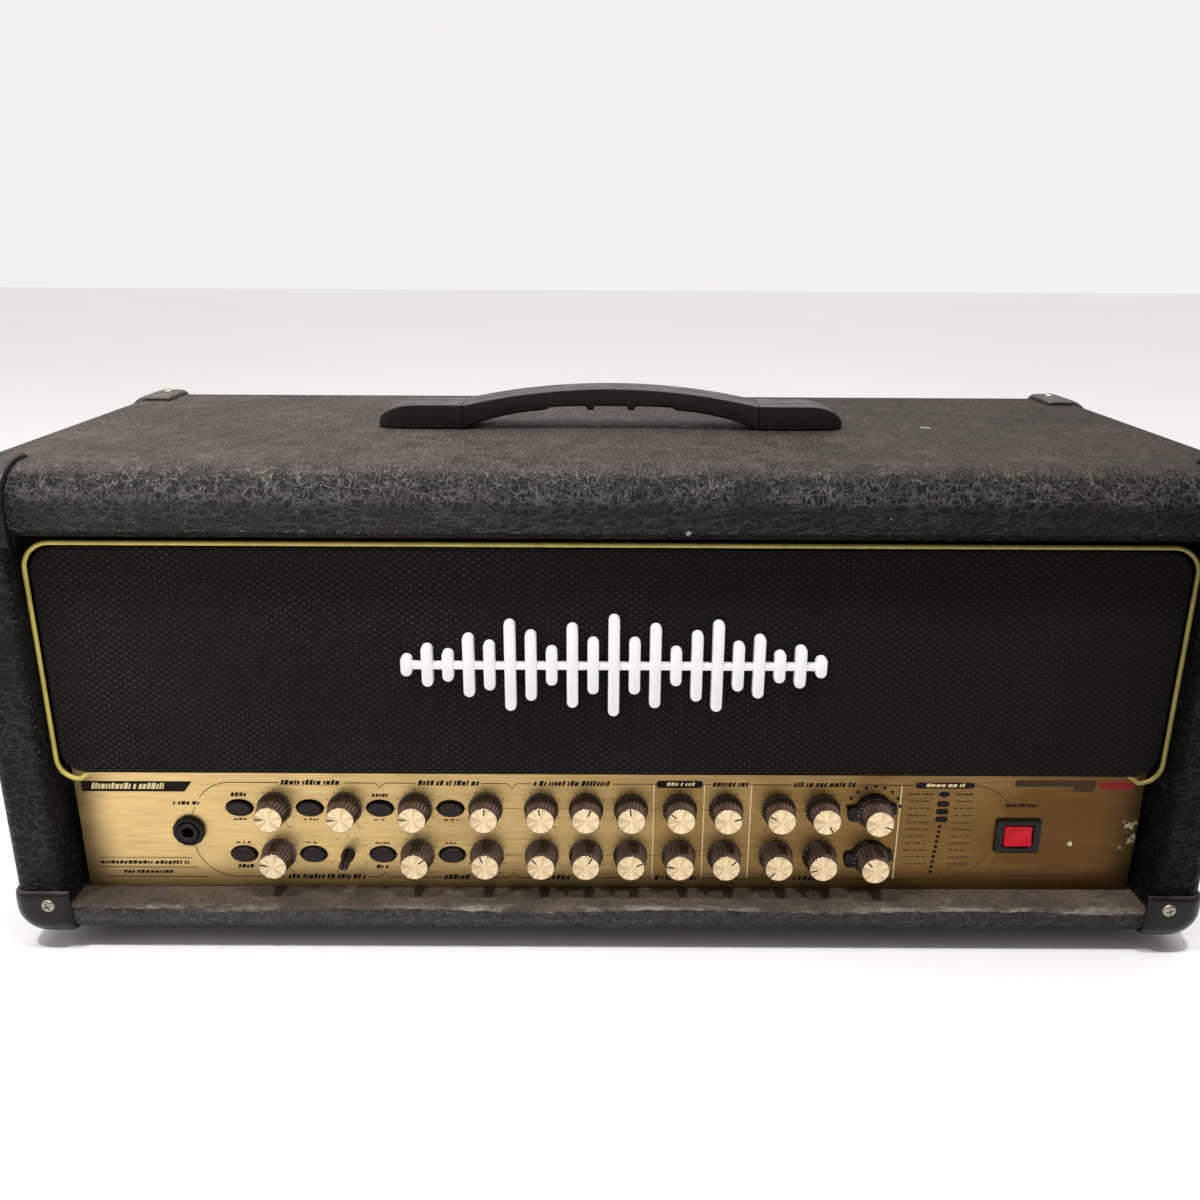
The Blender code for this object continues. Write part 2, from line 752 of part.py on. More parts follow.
def make_outputs(dark):
    """Speaker sockets and the mains inlet, all on the rear wall of the chassis."""
    for i, x in enumerate(OUTPUT_JACKS):
        jack = place(
            f"speaker_jack_{i + 1}",
            jack_mesh(0.0051, 0.0082, STEEL, 0.0185),
            dark,
            (x, CHASSIS_BACK, OUTPUT_Z),
        )
        jack.rotation_euler = (0, 0, math.pi)
    back = CHASSIS_BACK
    flange = inlet_box(INLET_FLANGE_HALF, back + GAP, back + INLET_FLANGE_PROUD)
    inlet = place("mains_inlet", flange, dark)
    body = inlet_box(INLET_BODY_HALF, back - INLET_BODY_DEPTH, back + PAST)
    well = inlet_box(INLET_WELL_HALF, back - INLET_WELL_DEPTH, back + 2 * INLET_FLANGE_PROUD)
    combine(inlet, helper("inlet_body", body), "UNION")
    combine(inlet, helper("inlet_well", well), "DIFFERENCE")
    pins = bmesh.new()
    for at in INLET_PINS:
        inlet_box((0.001, 0.002), back - 0.018, back - 0.009, pins, at)
    combine(inlet, helper("inlet_pins", pins), "UNION")


def make_main_board(green):
    low = CHASSIS_FLOOR + MAIN_BOARD_LIFT
    (x0, x1), (y0, y1) = MAIN_BOARD_X, MAIN_BOARD_Y
    board = place("main_board", box((x0, y0, low), (x1, y1, low + BOARD_THICKNESS)), green)
    posts = bmesh.new()
    for x in POST_COLUMNS:
        for y in POST_ROWS:
            box(
                (x - POST_HALF, y - POST_HALF, CHASSIS_FLOOR + GAP),
                (x + POST_HALF, y + POST_HALF, low + BOARD_THICKNESS / 2),
                posts,
            )
    combine(board, helper("board_posts", posts), "UNION")


def transformer_box(half, z0, z1):
    """A block centred on the transformer's upright axis."""
    x, y = TRANSFORMER
    return box((x - half[0], y - half[1], z0), (x + half[0], y + half[1], z1))


def make_transformer(steel):
    """Laminated core with the winding standing proud of it, and a foot at each end."""
    low = CHASSIS_FLOOR + GAP
    core = place("power_transformer", transformer_box(CORE_HALF, low, low + CORE_HEIGHT), steel)
    winding = transformer_box(WINDING_HALF, low + WINDING_MARGIN, low + CORE_HEIGHT - WINDING_MARGIN)
    feet = transformer_box(CORE_FOOT_HALF, low, low + CORE_FOOT_THICKNESS)
    combine(core, helper("winding", winding), "UNION")
    combine(core, helper("core_feet", feet), "UNION")


def make_heat_sink(aluminium):
    """An extruded comb of fins that stands against the rear wall, inside the chassis."""
    back = CHASSIS_BACK - STEEL - GAP
    right = HEAT_SINK_LEFT + (FIN_COUNT - 1) * FIN_PITCH + FIN_THICKNESS
    outline = [(HEAT_SINK_LEFT, back), (right, back)]
    for i in reversed(range(FIN_COUNT)):
        x = HEAT_SINK_LEFT + i * FIN_PITCH
        outline += [
            (x + FIN_THICKNESS, back - FIN_BASE),
            (x + FIN_THICKNESS, back - FIN_REACH),
            (x, back - FIN_REACH),
            (x, back - FIN_BASE),
        ]
    outline = outline[:2] + outline[3:-1]
    mesh = bmesh.new()
    low = CHASSIS_FLOOR + GAP
    loft(mesh, [[(x, y, z) for x, y in outline] for z in (low, low + HEAT_SINK_HEIGHT)])
    place("heat_sink", mesh, aluminium)


def turned_z(profile, count):
    mesh = bmesh.new()
    loft(mesh, [[(x, y, z) for x, y in circle(r, count)] for r, z in profile])
    return mesh


def make_valve(ceramic, glass):
    """The preamp valve stands in a round socket on the main board."""
    at = (*VALVE, CHASSIS_FLOOR + MAIN_BOARD_LIFT + BOARD_THICKNESS + GAP)
    socket = [(0.0095, 0.0), (0.0120, 0.001), (0.0120, 0.0075), (0.0100, SOCKET_HEIGHT)]
    place("valve_socket", turned_z(socket, 12), ceramic, at)
    foot = SOCKET_HEIGHT + GAP
    bulb = [
        (0.0085, foot),
        (0.0108, foot + 0.003),
        (0.0108, foot + 0.040),
        (0.0070, foot + 0.046),
        (0.0018, foot + 0.052),
    ]
    place("preamp_valve", turned_z(bulb, 12), glass, at)


# ---- handle -------------------------------------------------------------------------
def strap_section(x, low, high, half_depth):
    """A section with its upper corners rounded off."""
    soft = 0.30 * (high - low)
    return [
        (x, -half_depth + 0.0015, low),
        (x, half_depth - 0.0015, low),
        (x, half_depth, low + 0.0015),
        (x, half_depth, high - soft),
        (x, half_depth - 0.35 * soft, high - 0.35 * soft),
        (x, half_depth - soft, high),
        (x, -half_depth + soft, high),
        (x, -half_depth + 0.35 * soft, high - 0.35 * soft),
        (x, -half_depth, high - soft),
        (x, -half_depth, low + 0.0015),
    ]


def make_strap(dark):
    """The grip: an arch whose underside leaves the cabinet, and a tongue at each end."""
    stations = 20
    sections = []
    for i in range(stations + 1):
        u = -1 + 2 * i / stations
        x = u * STRAP_HALF_LENGTH
        under = STRAP_UNDER * (1 - abs(u) ** 3.2)
        over = STRAP_APEX - (STRAP_APEX - CAP_HEIGHT) * u * u
        half_depth = HANDLE_HALF_DEPTH - 0.0030 * math.cos(math.pi / 2 * u)
        sections.append(
            strap_section(x, TOP + GAP + under, TOP + over, half_depth)
        )
    mesh = bmesh.new()
    loft(mesh, sections)
    strap = place("handle_strap", mesh, dark)
    length, half_depth, thickness = TONGUE
    tongues = bmesh.new()
    for side in (-1, 1):
        ends = sorted((side * (STRAP_HALF_LENGTH - 0.004), side * (STRAP_HALF_LENGTH + length)))
        box(
            (ends[0], -half_depth, TOP + GAP),
            (ends[1], half_depth, TOP + thickness),
            tongues,
        )
    combine(strap, helper("strap_tongues", tongues), "UNION")


def make_caps(dark):
    """An end cap holds each tongue down: square where it meets the strap, round outside."""
    steps = 6
    length = HANDLE_HALF_LENGTH - STRAP_HALF_LENGTH - GAP
    straight = length - CAP_ROUND
    tongue_length, tongue_half, tongue_thickness = TONGUE
    for name, side in (("left", -1), ("right", 1)):
        inner = STRAP_HALF_LENGTH + GAP
        sections = [strap_section(side * inner, TOP + GAP, TOP + CAP_HEIGHT, HANDLE_HALF_DEPTH)]
        for i in range(steps + 1):
            turn = math.pi / 2 * i / steps * 0.94
            x = inner + straight + CAP_ROUND * math.sin(turn)
            shrink = math.cos(turn)
            sections.append(
                strap_section(
                    side * x,
                    TOP + GAP,
                    TOP + CAP_END_HEIGHT + (CAP_HEIGHT - CAP_END_HEIGHT) * shrink,
                    HANDLE_HALF_DEPTH * (0.35 + 0.65 * shrink),
                )
            )
        mesh = bmesh.new()
        loft(mesh, sections)
        cap = place(f"handle_cap_{name}", mesh, dark)
        ends = sorted((side * (inner - 0.002), side * (inner + tongue_length + 0.001)))
        slot = box(
            (ends[0], -tongue_half - GAP, TOP - PAST),
            (ends[1], tongue_half + GAP, TOP + tongue_thickness + GAP),
        )
        combine(cap, helper(f"cap_slot_{name}", slot), "DIFFERENCE")


def main():
    clear_scene()
    covering = material("covering", (0.030, 0.032, 0.030), 0.62)
    cloth = material("grille_cloth", (0.018, 0.017, 0.016), 0.85)
    gold_bead = material("gold_piping", (0.55, 0.43, 0.16), 0.35, 0.6)
    gold_panel = material("gold_panel", (0.62, 0.47, 0.20), 0.32, 0.9)
    black_plastic = material("black_plastic", (0.020, 0.018, 0.017), 0.45)
    knob_plastic = material("knob_plastic", (0.030, 0.020, 0.018), 0.40)
    red_lens = material("red_lens", (0.55, 0.012, 0.030), 0.25)
    white_plastic = material("white_plastic", (0.85, 0.82, 0.80), 0.35)
    rubber = material("rubber", (0.025, 0.025, 0.025), 0.80)
    steel = material("plated_steel", (0.45, 0.45, 0.44), 0.40, 1.0)
    iron = material("transformer_iron", (0.16, 0.15, 0.14), 0.55, 0.7)
    aluminium = material("aluminium", (0.60, 0.60, 0.61), 0.40, 1.0)
    green = material("circuit_board", (0.03, 0.16, 0.06), 0.45)
    ceramic = material("ceramic", (0.70, 0.67, 0.60), 0.50)
    glass = material("valve_glass", (0.75, 0.78, 0.80), 0.05)

    make_cabinet(covering)
    make_rear_panel(covering)
    make_feet(rubber)
    make_grille(cloth, gold_bead, white_plastic)
    make_front_panel(gold_panel)
    make_knobs(knob_plastic)
    make_buttons(black_plastic)
    make_input_jack(black_plastic)
    make_power_switch(black_plastic, red_lens)
    make_control_board(green)
    make_chassis(steel)
    make_outputs(black_plastic)
    make_main_board(green)
    make_transformer(iron)
    make_heat_sink(aluminium)
    make_valve(ceramic, glass)
    make_strap(black_plastic)
    make_caps(black_plastic)


main()
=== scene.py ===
"""The looks of a guitar amplifier head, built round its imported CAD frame.

Metres, +X to the right as seen from the front, the front faces -Y, +Z up. Each section
below makes one part of the object: its mesh, its materials, and the body it rides on.
"""

import json
import math
import random

import bmesh
import bpy
from mathutils import Matrix, Vector
from mathutils.bvhtree import BVHTree


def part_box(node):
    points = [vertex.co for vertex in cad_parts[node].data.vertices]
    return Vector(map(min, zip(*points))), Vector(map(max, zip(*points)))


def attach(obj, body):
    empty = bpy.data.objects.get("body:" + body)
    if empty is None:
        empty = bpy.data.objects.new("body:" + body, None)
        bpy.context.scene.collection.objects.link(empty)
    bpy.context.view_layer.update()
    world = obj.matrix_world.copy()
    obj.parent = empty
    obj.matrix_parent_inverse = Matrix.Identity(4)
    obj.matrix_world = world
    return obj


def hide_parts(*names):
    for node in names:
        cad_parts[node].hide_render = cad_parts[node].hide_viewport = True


MM = 0.001

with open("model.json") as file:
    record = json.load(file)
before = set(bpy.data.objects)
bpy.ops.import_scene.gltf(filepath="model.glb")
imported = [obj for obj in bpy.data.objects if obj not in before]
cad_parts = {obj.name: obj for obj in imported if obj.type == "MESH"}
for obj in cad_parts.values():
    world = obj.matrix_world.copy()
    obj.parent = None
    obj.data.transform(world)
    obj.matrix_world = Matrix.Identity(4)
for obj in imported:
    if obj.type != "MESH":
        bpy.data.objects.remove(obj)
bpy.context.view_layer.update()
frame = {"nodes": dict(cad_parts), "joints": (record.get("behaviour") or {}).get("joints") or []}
JOINTS = {joint["child"]: joint for joint in frame["joints"]}
DICE = random.Random(11)

# ---- places, from the frame ---------------------------------------------------------
SHELL_LOW, SHELL_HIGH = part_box("cabinet_shell")
PANEL_LOW, PANEL_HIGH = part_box("front_panel")
GRILLE_LOW, GRILLE_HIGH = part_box("grille_board")
PIPING_LOW, PIPING_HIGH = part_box("grille_piping")
BADGE_LOW, BADGE_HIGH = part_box("name_badge")
BEZEL_LOW, BEZEL_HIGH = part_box("rocker_housing")
CHASSIS_LOW, CHASSIS_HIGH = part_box("chassis")
REAR_LOW, REAR_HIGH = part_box("rear_panel")
FRONT, REAR = SHELL_LOW.y, SHELL_HIGH.y
BASE, TOP = SHELL_LOW.z, SHELL_HIGH.z
HALF_WIDTH = SHELL_HIGH.x
FACE = PANEL_LOW.y
CLOTH = GRILLE_LOW.y

# ---- the cabinet's own sizes, as in the CAD -----------------------------------------
CHEEK = 28.5 * MM
SIDE_BOARD = 18 * MM
TOP_BOARD = 18 * MM
LIP_HEIGHT = 36 * MM
BATTEN = 16.5 * MM
FRAME_DEPTH = 40 * MM
ROLL_RADIUS = 24 * MM
EDGE_RADIUS = 9 * MM
END_RADIUS = 7 * MM
CORNER_RADIUS = 11 * MM
MOUTH_RADIUS = 5 * MM
PROTECTOR_SLOPE = 4.5 * MM
LEDGE = BASE + 15.7 * MM
OPENING_HALF = HALF_WIDTH - CHEEK
OPENING_TOP = TOP - LIP_HEIGHT
GRILLE_THICKNESS = GRILLE_HIGH.y - GRILLE_LOW.y


# ---- node trees ---------------------------------------------------------------------
class Field:
    """One value, place or colour of a node tree. Plain arithmetic works on it."""

    def __init__(self, look, socket):
        self.look = look
        self.socket = socket

    def __add__(self, other):
        return self.look.maths("ADD", self, other)

    def __sub__(self, other):
        return self.look.maths("SUBTRACT", self, other)

    def __rsub__(self, other):
        return self.look.maths("SUBTRACT", other, self)

    def __mul__(self, other):
        return self.look.maths("MULTIPLY", self, other)

    def __truediv__(self, other):
        return self.look.maths("DIVIDE", self, other)

    def __pow__(self, other):
        return self.look.maths("POWER", self, other)

    def __abs__(self):
        return self.look.maths("ABSOLUTE", self)

    def axis(self, name):
        return self.look.node("SeparateXYZ", {0: self}, name)

    def noise(self, scale, detail=3.0, rough=0.55, output="Fac"):
        settings = {"Vector": self, "Scale": scale, "Detail": detail, "Roughness": rough}
        return self.look.node("TexNoise", settings, output)

    def cells(self, scale, feature="F1", output="Distance"):
        return self.look.node("TexVoronoi", {"Vector": self, "Scale": scale}, output, feature=feature)

    def warp(self, scale, amount):
        """The place, pushed about by a smooth noise of this size."""
        inputs = {0: self.noise(scale, 2.0, 0.5, "Color"), 1: (amount,) * 3, 2: (-amount / 2,) * 3}
        push = self.look.node("VectorMath", inputs, operation="MULTIPLY_ADD")
        return self.look.node("VectorMath", {0: self, 1: push})

    def fit(self, low, high, start=0.0, end=1.0, smooth=True):
        """Maps low..high to start..end, held at both ends."""
        settings = {"Value": self, "From Min": low, "From Max": high, "To Min": start, "To Max": end}
        kind = "SMOOTHSTEP" if smooth else "LINEAR"
        return self.look.node("MapRange", settings, interpolation_type=kind)


class Tree:
    """A Principled material whose nodes are added by short calls."""

    def __init__(self, name, colour, roughness=0.5, metallic=0.0, **more):
        self.material = bpy.data.materials.new(name)
        self.material.use_nodes = True
        self.tree = self.material.node_tree
        self.shader = self.tree.nodes["Principled BSDF"]
        self.material.diffuse_color = (*colour, 1.0)
        settings = {"Base Color": (*colour, 1.0), "Roughness": roughness, "Metallic": metallic, **more}
        for socket, value in settings.items():
            self.shader.inputs[socket.replace("_", " ")].default_value = value

    def node(self, kind, inputs=None, output=0, **settings):
        """A new node with these inputs and settings, as a field of one output."""
        made = self.tree.nodes.new("ShaderNode" + kind)
        for key, value in settings.items():
            setattr(made, key, value)
        for key, value in (inputs or {}).items():
            if isinstance(value, Field):
                self.tree.links.new(value.socket, made.inputs[key])
            else:
                made.inputs[key].default_value = value
        return Field(self, made.outputs[output])

    def join(self, source, socket):
        self.tree.links.new(source.socket, self.shader.inputs[socket])

    def place(self, *stretch):
        """Object coordinates in metres, stretched by a factor along each axis."""
        source = self.node("TexCoord", output="Object")
        return self.node("Mapping", {"Vector": source, "Scale": stretch or (1, 1, 1)})

    def maths(self, operation, a, b=0.0):
        return self.node("Math", {0: a, 1: b}, operation=operation)

    def blend(self, factor, a, b):
        """The colour a where factor is 0 and b where it is 1."""
        a, b = (v if isinstance(v, Field) else (*v, 1.0) for v in (a, b))
        return self.node("Mix", {0: factor, 6: a, 7: b}, 2, data_type="RGBA")

    def facing(self, name):
        """One part of the surface's own normal."""
        return self.node("NewGeometry", output="Normal").axis(name)

    def bump(self, height, depth, strength=1.0):
        settings = {"Height": height, "Distance": depth, "Strength": strength}
        self.join(self.node("Bump", settings), "Normal")


# ---- materials ----------------------------------------------------------------------
def painted_shade_to_right(look, colour, share, start=-0.25):
    """Painted shade: the colour sinks towards the right end, where less light falls."""
    along = look.place().axis("X").fit(start, HALF_WIDTH, 0.0, share, smooth=False)
    return look.blend(along, colour, (0.0010, 0.0009, 0.0006))


def grain_height(look, cell, finer=0.24):
    """Raised, branching ridges round flat cells, as on coarse vinyl.

    One net runs mostly sideways, and is strongest on upright faces. The other runs
    mostly up and over, and is strongest where the surface turns upwards.
    """
    lift = look.facing("Z")
    sideways = lift.fit(0.80, 0.30, 0.35, 0.72)
    over = lift.fit(0.05, 0.40, 0.25, 1.0)
    nets = []
    for stretch, size, share in (((0.55, 1.0, 1.0), 1.0, sideways), ((1.35, 0.50, 0.50), 0.85, over)):
        point = look.place(*stretch).warp(0.95 / cell, 1.2 * cell)
        edge = point.cells(1 / (size * cell), "DISTANCE_TO_EDGE")
        net = edge.fit(0.0, 0.20, 1.0, 0.0) * share
        where = look.place(*stretch).noise(0.30 / cell, 2.0)
        nets.append(net * where.fit(0.30, 0.60, 0.4, 1.0))
    ridges = look.maths("MAXIMUM", *nets)
    point = look.place()
    fine_point = point.warp(1.0 / cell, 0.5 * cell)
    fine = fine_point.cells(2.7 / cell, "DISTANCE_TO_EDGE").fit(0.0, 0.14, 1.0, 0.0)
    grit = point.noise(5.0 / cell, 3.0, 0.6)
    return ridges + fine * finer + grit * 0.28, ridges


def spot(look, at, radius):
    """One inside a ragged spot round a place on the object, and zero outside it."""
    point = look.place().warp(500.0, 1.2 * radius)
    total = 0.0
    for axis, value in zip("XYZ", at):
        away = point.axis(axis) - value
        total = away * away + total
    return total.fit((0.7 * radius) ** 2, radius**2, 1.0, 0.0)


def nicks(point, scale, small, large):
    """One inside a few small spots that lie at random, and zero elsewhere."""
    chosen = point.cells(scale, "F1", "Color").axis("X")
    return point.cells(scale).fit(small, large, 1.0, 0.0) * chosen.fit(0.94, 0.95)


def vinyl_material(name, dark, dust, cell=4.4 * MM):
    """Black coarse-grained covering. Dust lies on what faces up, and nicks show pale. Painted glints lie on
    the ridges over the roll, and painted shade darkens the covering below the roll and towards the right
    end.
    """
    look = Tree(name, dark, 0.45, Specular_IOR_Level=0.30)
    point = look.place()
    height, ridges = grain_height(look, cell)
    cloudy = point.noise(14.0, 5.0, 0.6)
    blotch = point.noise(75.0, 5.0, 0.7)
    grit = point.noise(900.0, 3.0, 0.7)
    lift = look.facing("Z")
    up = lift.fit(0.74, 0.995)
    settled = up * cloudy.fit(0.25, 0.75, 0.62, 1.0) * blotch.fit(0.25, 0.75, 0.65, 1.0)
    settled = settled * grit.fit(0.3, 0.7, 0.72, 1.0)
    mask = look.maths("MAXIMUM", settled, cloudy.fit(0.45, 0.8, 0.0, 0.10))
    lighter = tuple(1.8 * v + 0.003 for v in dark)
    base = look.blend(ridges * 0.15, dark, lighter)
    base = look.blend(mask, base, look.blend(blotch, dust, tuple(1.5 * v for v in dust)))
    rubbed = ridges * up * blotch.fit(0.45, 0.7)
    near = point.axis("Y").fit(FRONT + 80 * MM, FRONT + 30 * MM, 0.12, 0.36)
    base = look.blend(rubbed * near, base, (0.26, 0.24, 0.205))
    # Painted highlight: pale strokes on the ridges where the roll curves over stand in for the glints of
    # the lamps.
    crest = lift.fit(0.12, 0.45) * lift.fit(0.995, 0.85)
    painted_crest_glints = ridges * crest * blotch.fit(0.3, 0.6, 0.3, 1.0)
    base = look.blend(painted_crest_glints * 0.42, base, (0.34, 0.32, 0.28))
    base = look.blend(nicks(point, 38.0, 0.030, 0.045) * 0.7, base, (0.42, 0.40, 0.36))
    for at, radius in (((0.196, -0.001, TOP), 4.2 * MM), ((0.039, FRONT, OPENING_TOP + 4 * MM), 1.5 * MM)):
        base = look.blend(spot(look, at, radius), base, (0.62, 0.60, 0.57))
    height_up = point.axis("Z")
    # Paler, in blotches, on the covering below the ledge line.
    pale_below_ledge = height_up.fit(LEDGE + 3 * MM, LEDGE - 3 * MM, 0.0, 0.75)
    base = look.blend(pale_below_ledge * blotch.fit(0.25, 0.7, 0.35, 1.0), base, (0.088, 0.084, 0.072))
    # Painted shade: the covering below the roll, down to the ledge, is darkened towards black, and all of
    # it darkens towards the right end.
    low = height_up.fit(TOP - 62 * MM, TOP - 26 * MM, 0.7, 0.0)
    low = low * height_up.fit(LEDGE - 2 * MM, LEDGE + 8 * MM)
    base = look.blend(low, painted_shade_to_right(look, base, 0.42), (0.0022, 0.0024, 0.0016))
    look.join(base, "Base Color")
    rough = mask.fit(0.0, 1.0, 0.31, 0.68, smooth=False) + ridges.fit(0.1, 0.7, 0.04, -0.15)
    look.join(rough + blotch.fit(0.3, 0.7, -0.05, 0.06), "Roughness")
    bare = ridges * (1.0 - mask)
    # Painted shade: the shine is cut below the roll and towards the right end.
    shine = bare.fit(0.1, 0.7, 0.22, 0.44) * low.fit(0.0, 0.7, 1.0, 0.45)
    along = point.axis("X").fit(-0.2, HALF_WIDTH, 1.0, 0.4)
    look.join(shine * along, "Specular IOR Level")
    look.bump(height, 2.3 * MM, 1.0)
    return look.material


def ledge_material():
    """The brown, rubbed strip in front of the panel, with a frayed pale front edge."""
    look = Tree("ledge_vinyl", (0.075, 0.058, 0.042), 0.7)
    point = look.place()
    height, _ = grain_height(look, 3.6 * MM, 0.5)
    streaks = look.place(0.35, 1.0, 1.0).noise(120.0, 5.0, 0.7)
    cloudy = point.noise(30.0, 4.0, 0.6)
    base = look.blend(cloudy.fit(0.3, 0.7), (0.060, 0.041, 0.026), (0.125, 0.086, 0.056))
    base = look.blend(streaks.fit(0.52, 0.72, 0.0, 0.55), base, (0.21, 0.165, 0.12))
    dents = point.noise(420.0, 3.0, 0.7).fit(0.38, 0.50, 0.65, 0.0)
    base = look.blend(dents, base, (0.035, 0.024, 0.016))
    edge = point.axis("Y").fit(FRONT + 5.5 * MM, FRONT + 2.2 * MM)
    worn = edge * streaks.fit(0.44, 0.64) * 0.8
    look.join(look.blend(worn, base, (0.30, 0.27, 0.22)), "Base Color")
    look.bump(height, 0.55 * MM, 0.9)
    return look.material


def cloth_material():
    """Woven speaker cloth: near-black yarn with staggered rows of fine pale flecks."""
    look = Tree("grille_cloth", (0.012, 0.0105, 0.0095), 0.92, Specular_IOR_Level=0.12)
    across, up = 5.2 * MM, 3.6 * MM
    point = look.place().warp(9.0, 1.2 * MM)
    x = point.axis("X") / across
    z = point.axis("Z") / (up / 2)
    shifted = x + look.maths("FLOOR", z) * 0.5
    u = abs(look.maths("FRACT", shifted) - 0.5)
    v = abs(look.maths("FRACT", z) - 0.5)
    fleck = u.fit(0.10, 0.17, 1.0, 0.0) * v.fit(0.18, 0.30, 1.0, 0.0)
    uneven = point.noise(260.0, 2.0).fit(0.30, 0.65, 0.35, 1.0)
    patchy = point.noise(16.0, 3.0).fit(0.30, 0.70, 0.45, 1.0)
    strength = fleck * uneven * patchy
    yarn = look.place(1.0, 1.0, 3.0).noise(900.0, 2.0)
    dust = point.noise(7.0, 4.0).fit(0.35, 0.75)
    base = look.blend(yarn, (0.0050, 0.0042, 0.0034), (0.014, 0.0118, 0.0098))
    base = look.blend(dust * 0.35, base, (0.017, 0.0145, 0.012))
    base = look.blend(strength * 0.8, base, (0.072, 0.064, 0.052))
    # Painted shade: the cloth darkens towards the right end.
    look.join(painted_shade_to_right(look, base, 0.72), "Base Color")
    ribs = v.fit(0.30, 0.5, 1.0, 0.0)
    look.bump(ribs * 0.5 + fleck * 0.7 + yarn * 0.6, 0.28 * MM, 0.9)
    return look.material


def brushed_gold(name, bright, dark, shade_span=(-0.20, 0.26)):
    """Brushed anodised sheet, paler at one end, with fine sideways lines: painted light at the left end and
    painted shade towards the right.
    """
    look = Tree(name, bright, 0.33, 0.82, Anisotropic=0.5)
    point = look.place()
    grain = look.place(0.02, 1.0, 1.0).noise(2600.0, 2.0, 0.5)
    smear = look.place(0.6, 1.0, 1.6).noise(22.0, 5.0, 0.6)
    # Painted light and shade: paler at the left, darker towards the right.
    along = point.axis("X").fit(*shade_span, smooth=False)
    along = along + smear.fit(0.3, 0.7, -0.10, 0.10)
    base = look.blend(along, bright, dark)
    base = look.blend(grain.fit(0.3, 0.7, 0.0, 0.22), base, tuple(v * 0.55 for v in dark))
    # Painted shade: darker along the bottom edge, where the panel meets the ledge.
    low = point.axis("Z").fit(LEDGE + 7 * MM, LEDGE, 0.0, 0.35)
    base = look.blend(low, base, (0.14, 0.09, 0.035))
    # Painted shade: darker at both ends, for the cheeks' shadow and their reflection in the metal.
    cheek_shade = abs(point.axis("X")).fit(0.285, 0.308) * smear.fit(0.2, 0.6, 0.5, 1.0)
    base = look.blend(cheek_shade * 0.75, base, (0.09, 0.055, 0.022))
    edge = point.axis("X").fit(0.2980, 0.3005)
    height = point.axis("Z")
    band = height.fit(BASE + 42 * MM, BASE + 46 * MM) * height.fit(BASE + 59 * MM, BASE + 64 * MM, 1.0, 0.0)
    chipped = edge * band * point.noise(170.0, 3.0).fit(0.53, 0.58)
    bare = look.maths("MAXIMUM", chipped, nicks(point, 60.0, 0.035, 0.06))
    bare = look.maths("MAXIMUM", bare, spot(look, (0.2706, FACE, BASE + 47 * MM), 1.7 * MM))
    base = look.blend(bare * 0.85, base, (0.92, 0.80, 0.50))
    # Painted shade: darker again towards the right end.
    look.join(painted_shade_to_right(look, base, 0.42, 0.0), "Base Color")
    rough = grain.fit(0.3, 0.7, 0.30, 0.42) + smear.fit(0.4, 0.8, 0.0, 0.12)
    look.join(rough, "Roughness")
    look.bump(grain, 0.02 * MM, 0.35)
    return look.material


def moulded(name, colour, roughness=0.38, dust=(0.10, 0.09, 0.08), dusty=0.25, right_shade=0.0, **more):
    """Moulded plastic or rubber, faintly pebbled, with dust where it faces up, and painted shade towards
    the right end by the last share.
    """
    look = Tree(name, colour, roughness, **more)
    point = look.place()
    smear = point.noise(70.0, 4.0, 0.6)
    up = look.facing("Z").fit(0.3, 0.95)
    mask = up * smear.fit(0.3, 0.7, 0.3 * dusty, dusty)
    paler = tuple(min(1.5 * v + 0.003, 0.9) for v in colour)
    tinted = look.blend(smear.fit(0.3, 0.7, 0.0, 0.5), colour, paler)
    # Painted shade: darker towards the right end, by the given share.
    look.join(painted_shade_to_right(look, look.blend(mask, tinted, dust), right_shade), "Base Color")
    rough = smear.fit(0.3, 0.7, roughness - 0.06, roughness + 0.10)
    look.join(rough + mask * 0.5, "Roughness")
    look.bump(point.noise(1500.0, 2.0), 0.03 * MM, 0.4)
    return look.material


def metal(name, colour, roughness=0.3, brushed=(1, 1, 1), tarnish=0.35, **more):
    """Plated or turned metal with fine lines and a duller film in places."""
    look = Tree(name, colour, roughness, 1.0, **more)
    lines = look.place(*brushed).noise(1800.0, 2.0)
    film = look.place().noise(120.0, 4.0).fit(0.4, 0.75, 0.0, tarnish)
    base = look.blend(lines.fit(0.3, 0.7, 0.0, 0.25), colour, tuple(v * 0.6 for v in colour))
    look.join(look.blend(film, base, tuple(v * 0.45 for v in colour)), "Base Color")
    look.join(lines.fit(0.3, 0.7, roughness - 0.05, roughness + 0.12), "Roughness")
    look.bump(lines, 0.02 * MM, 0.3)
    return look.material


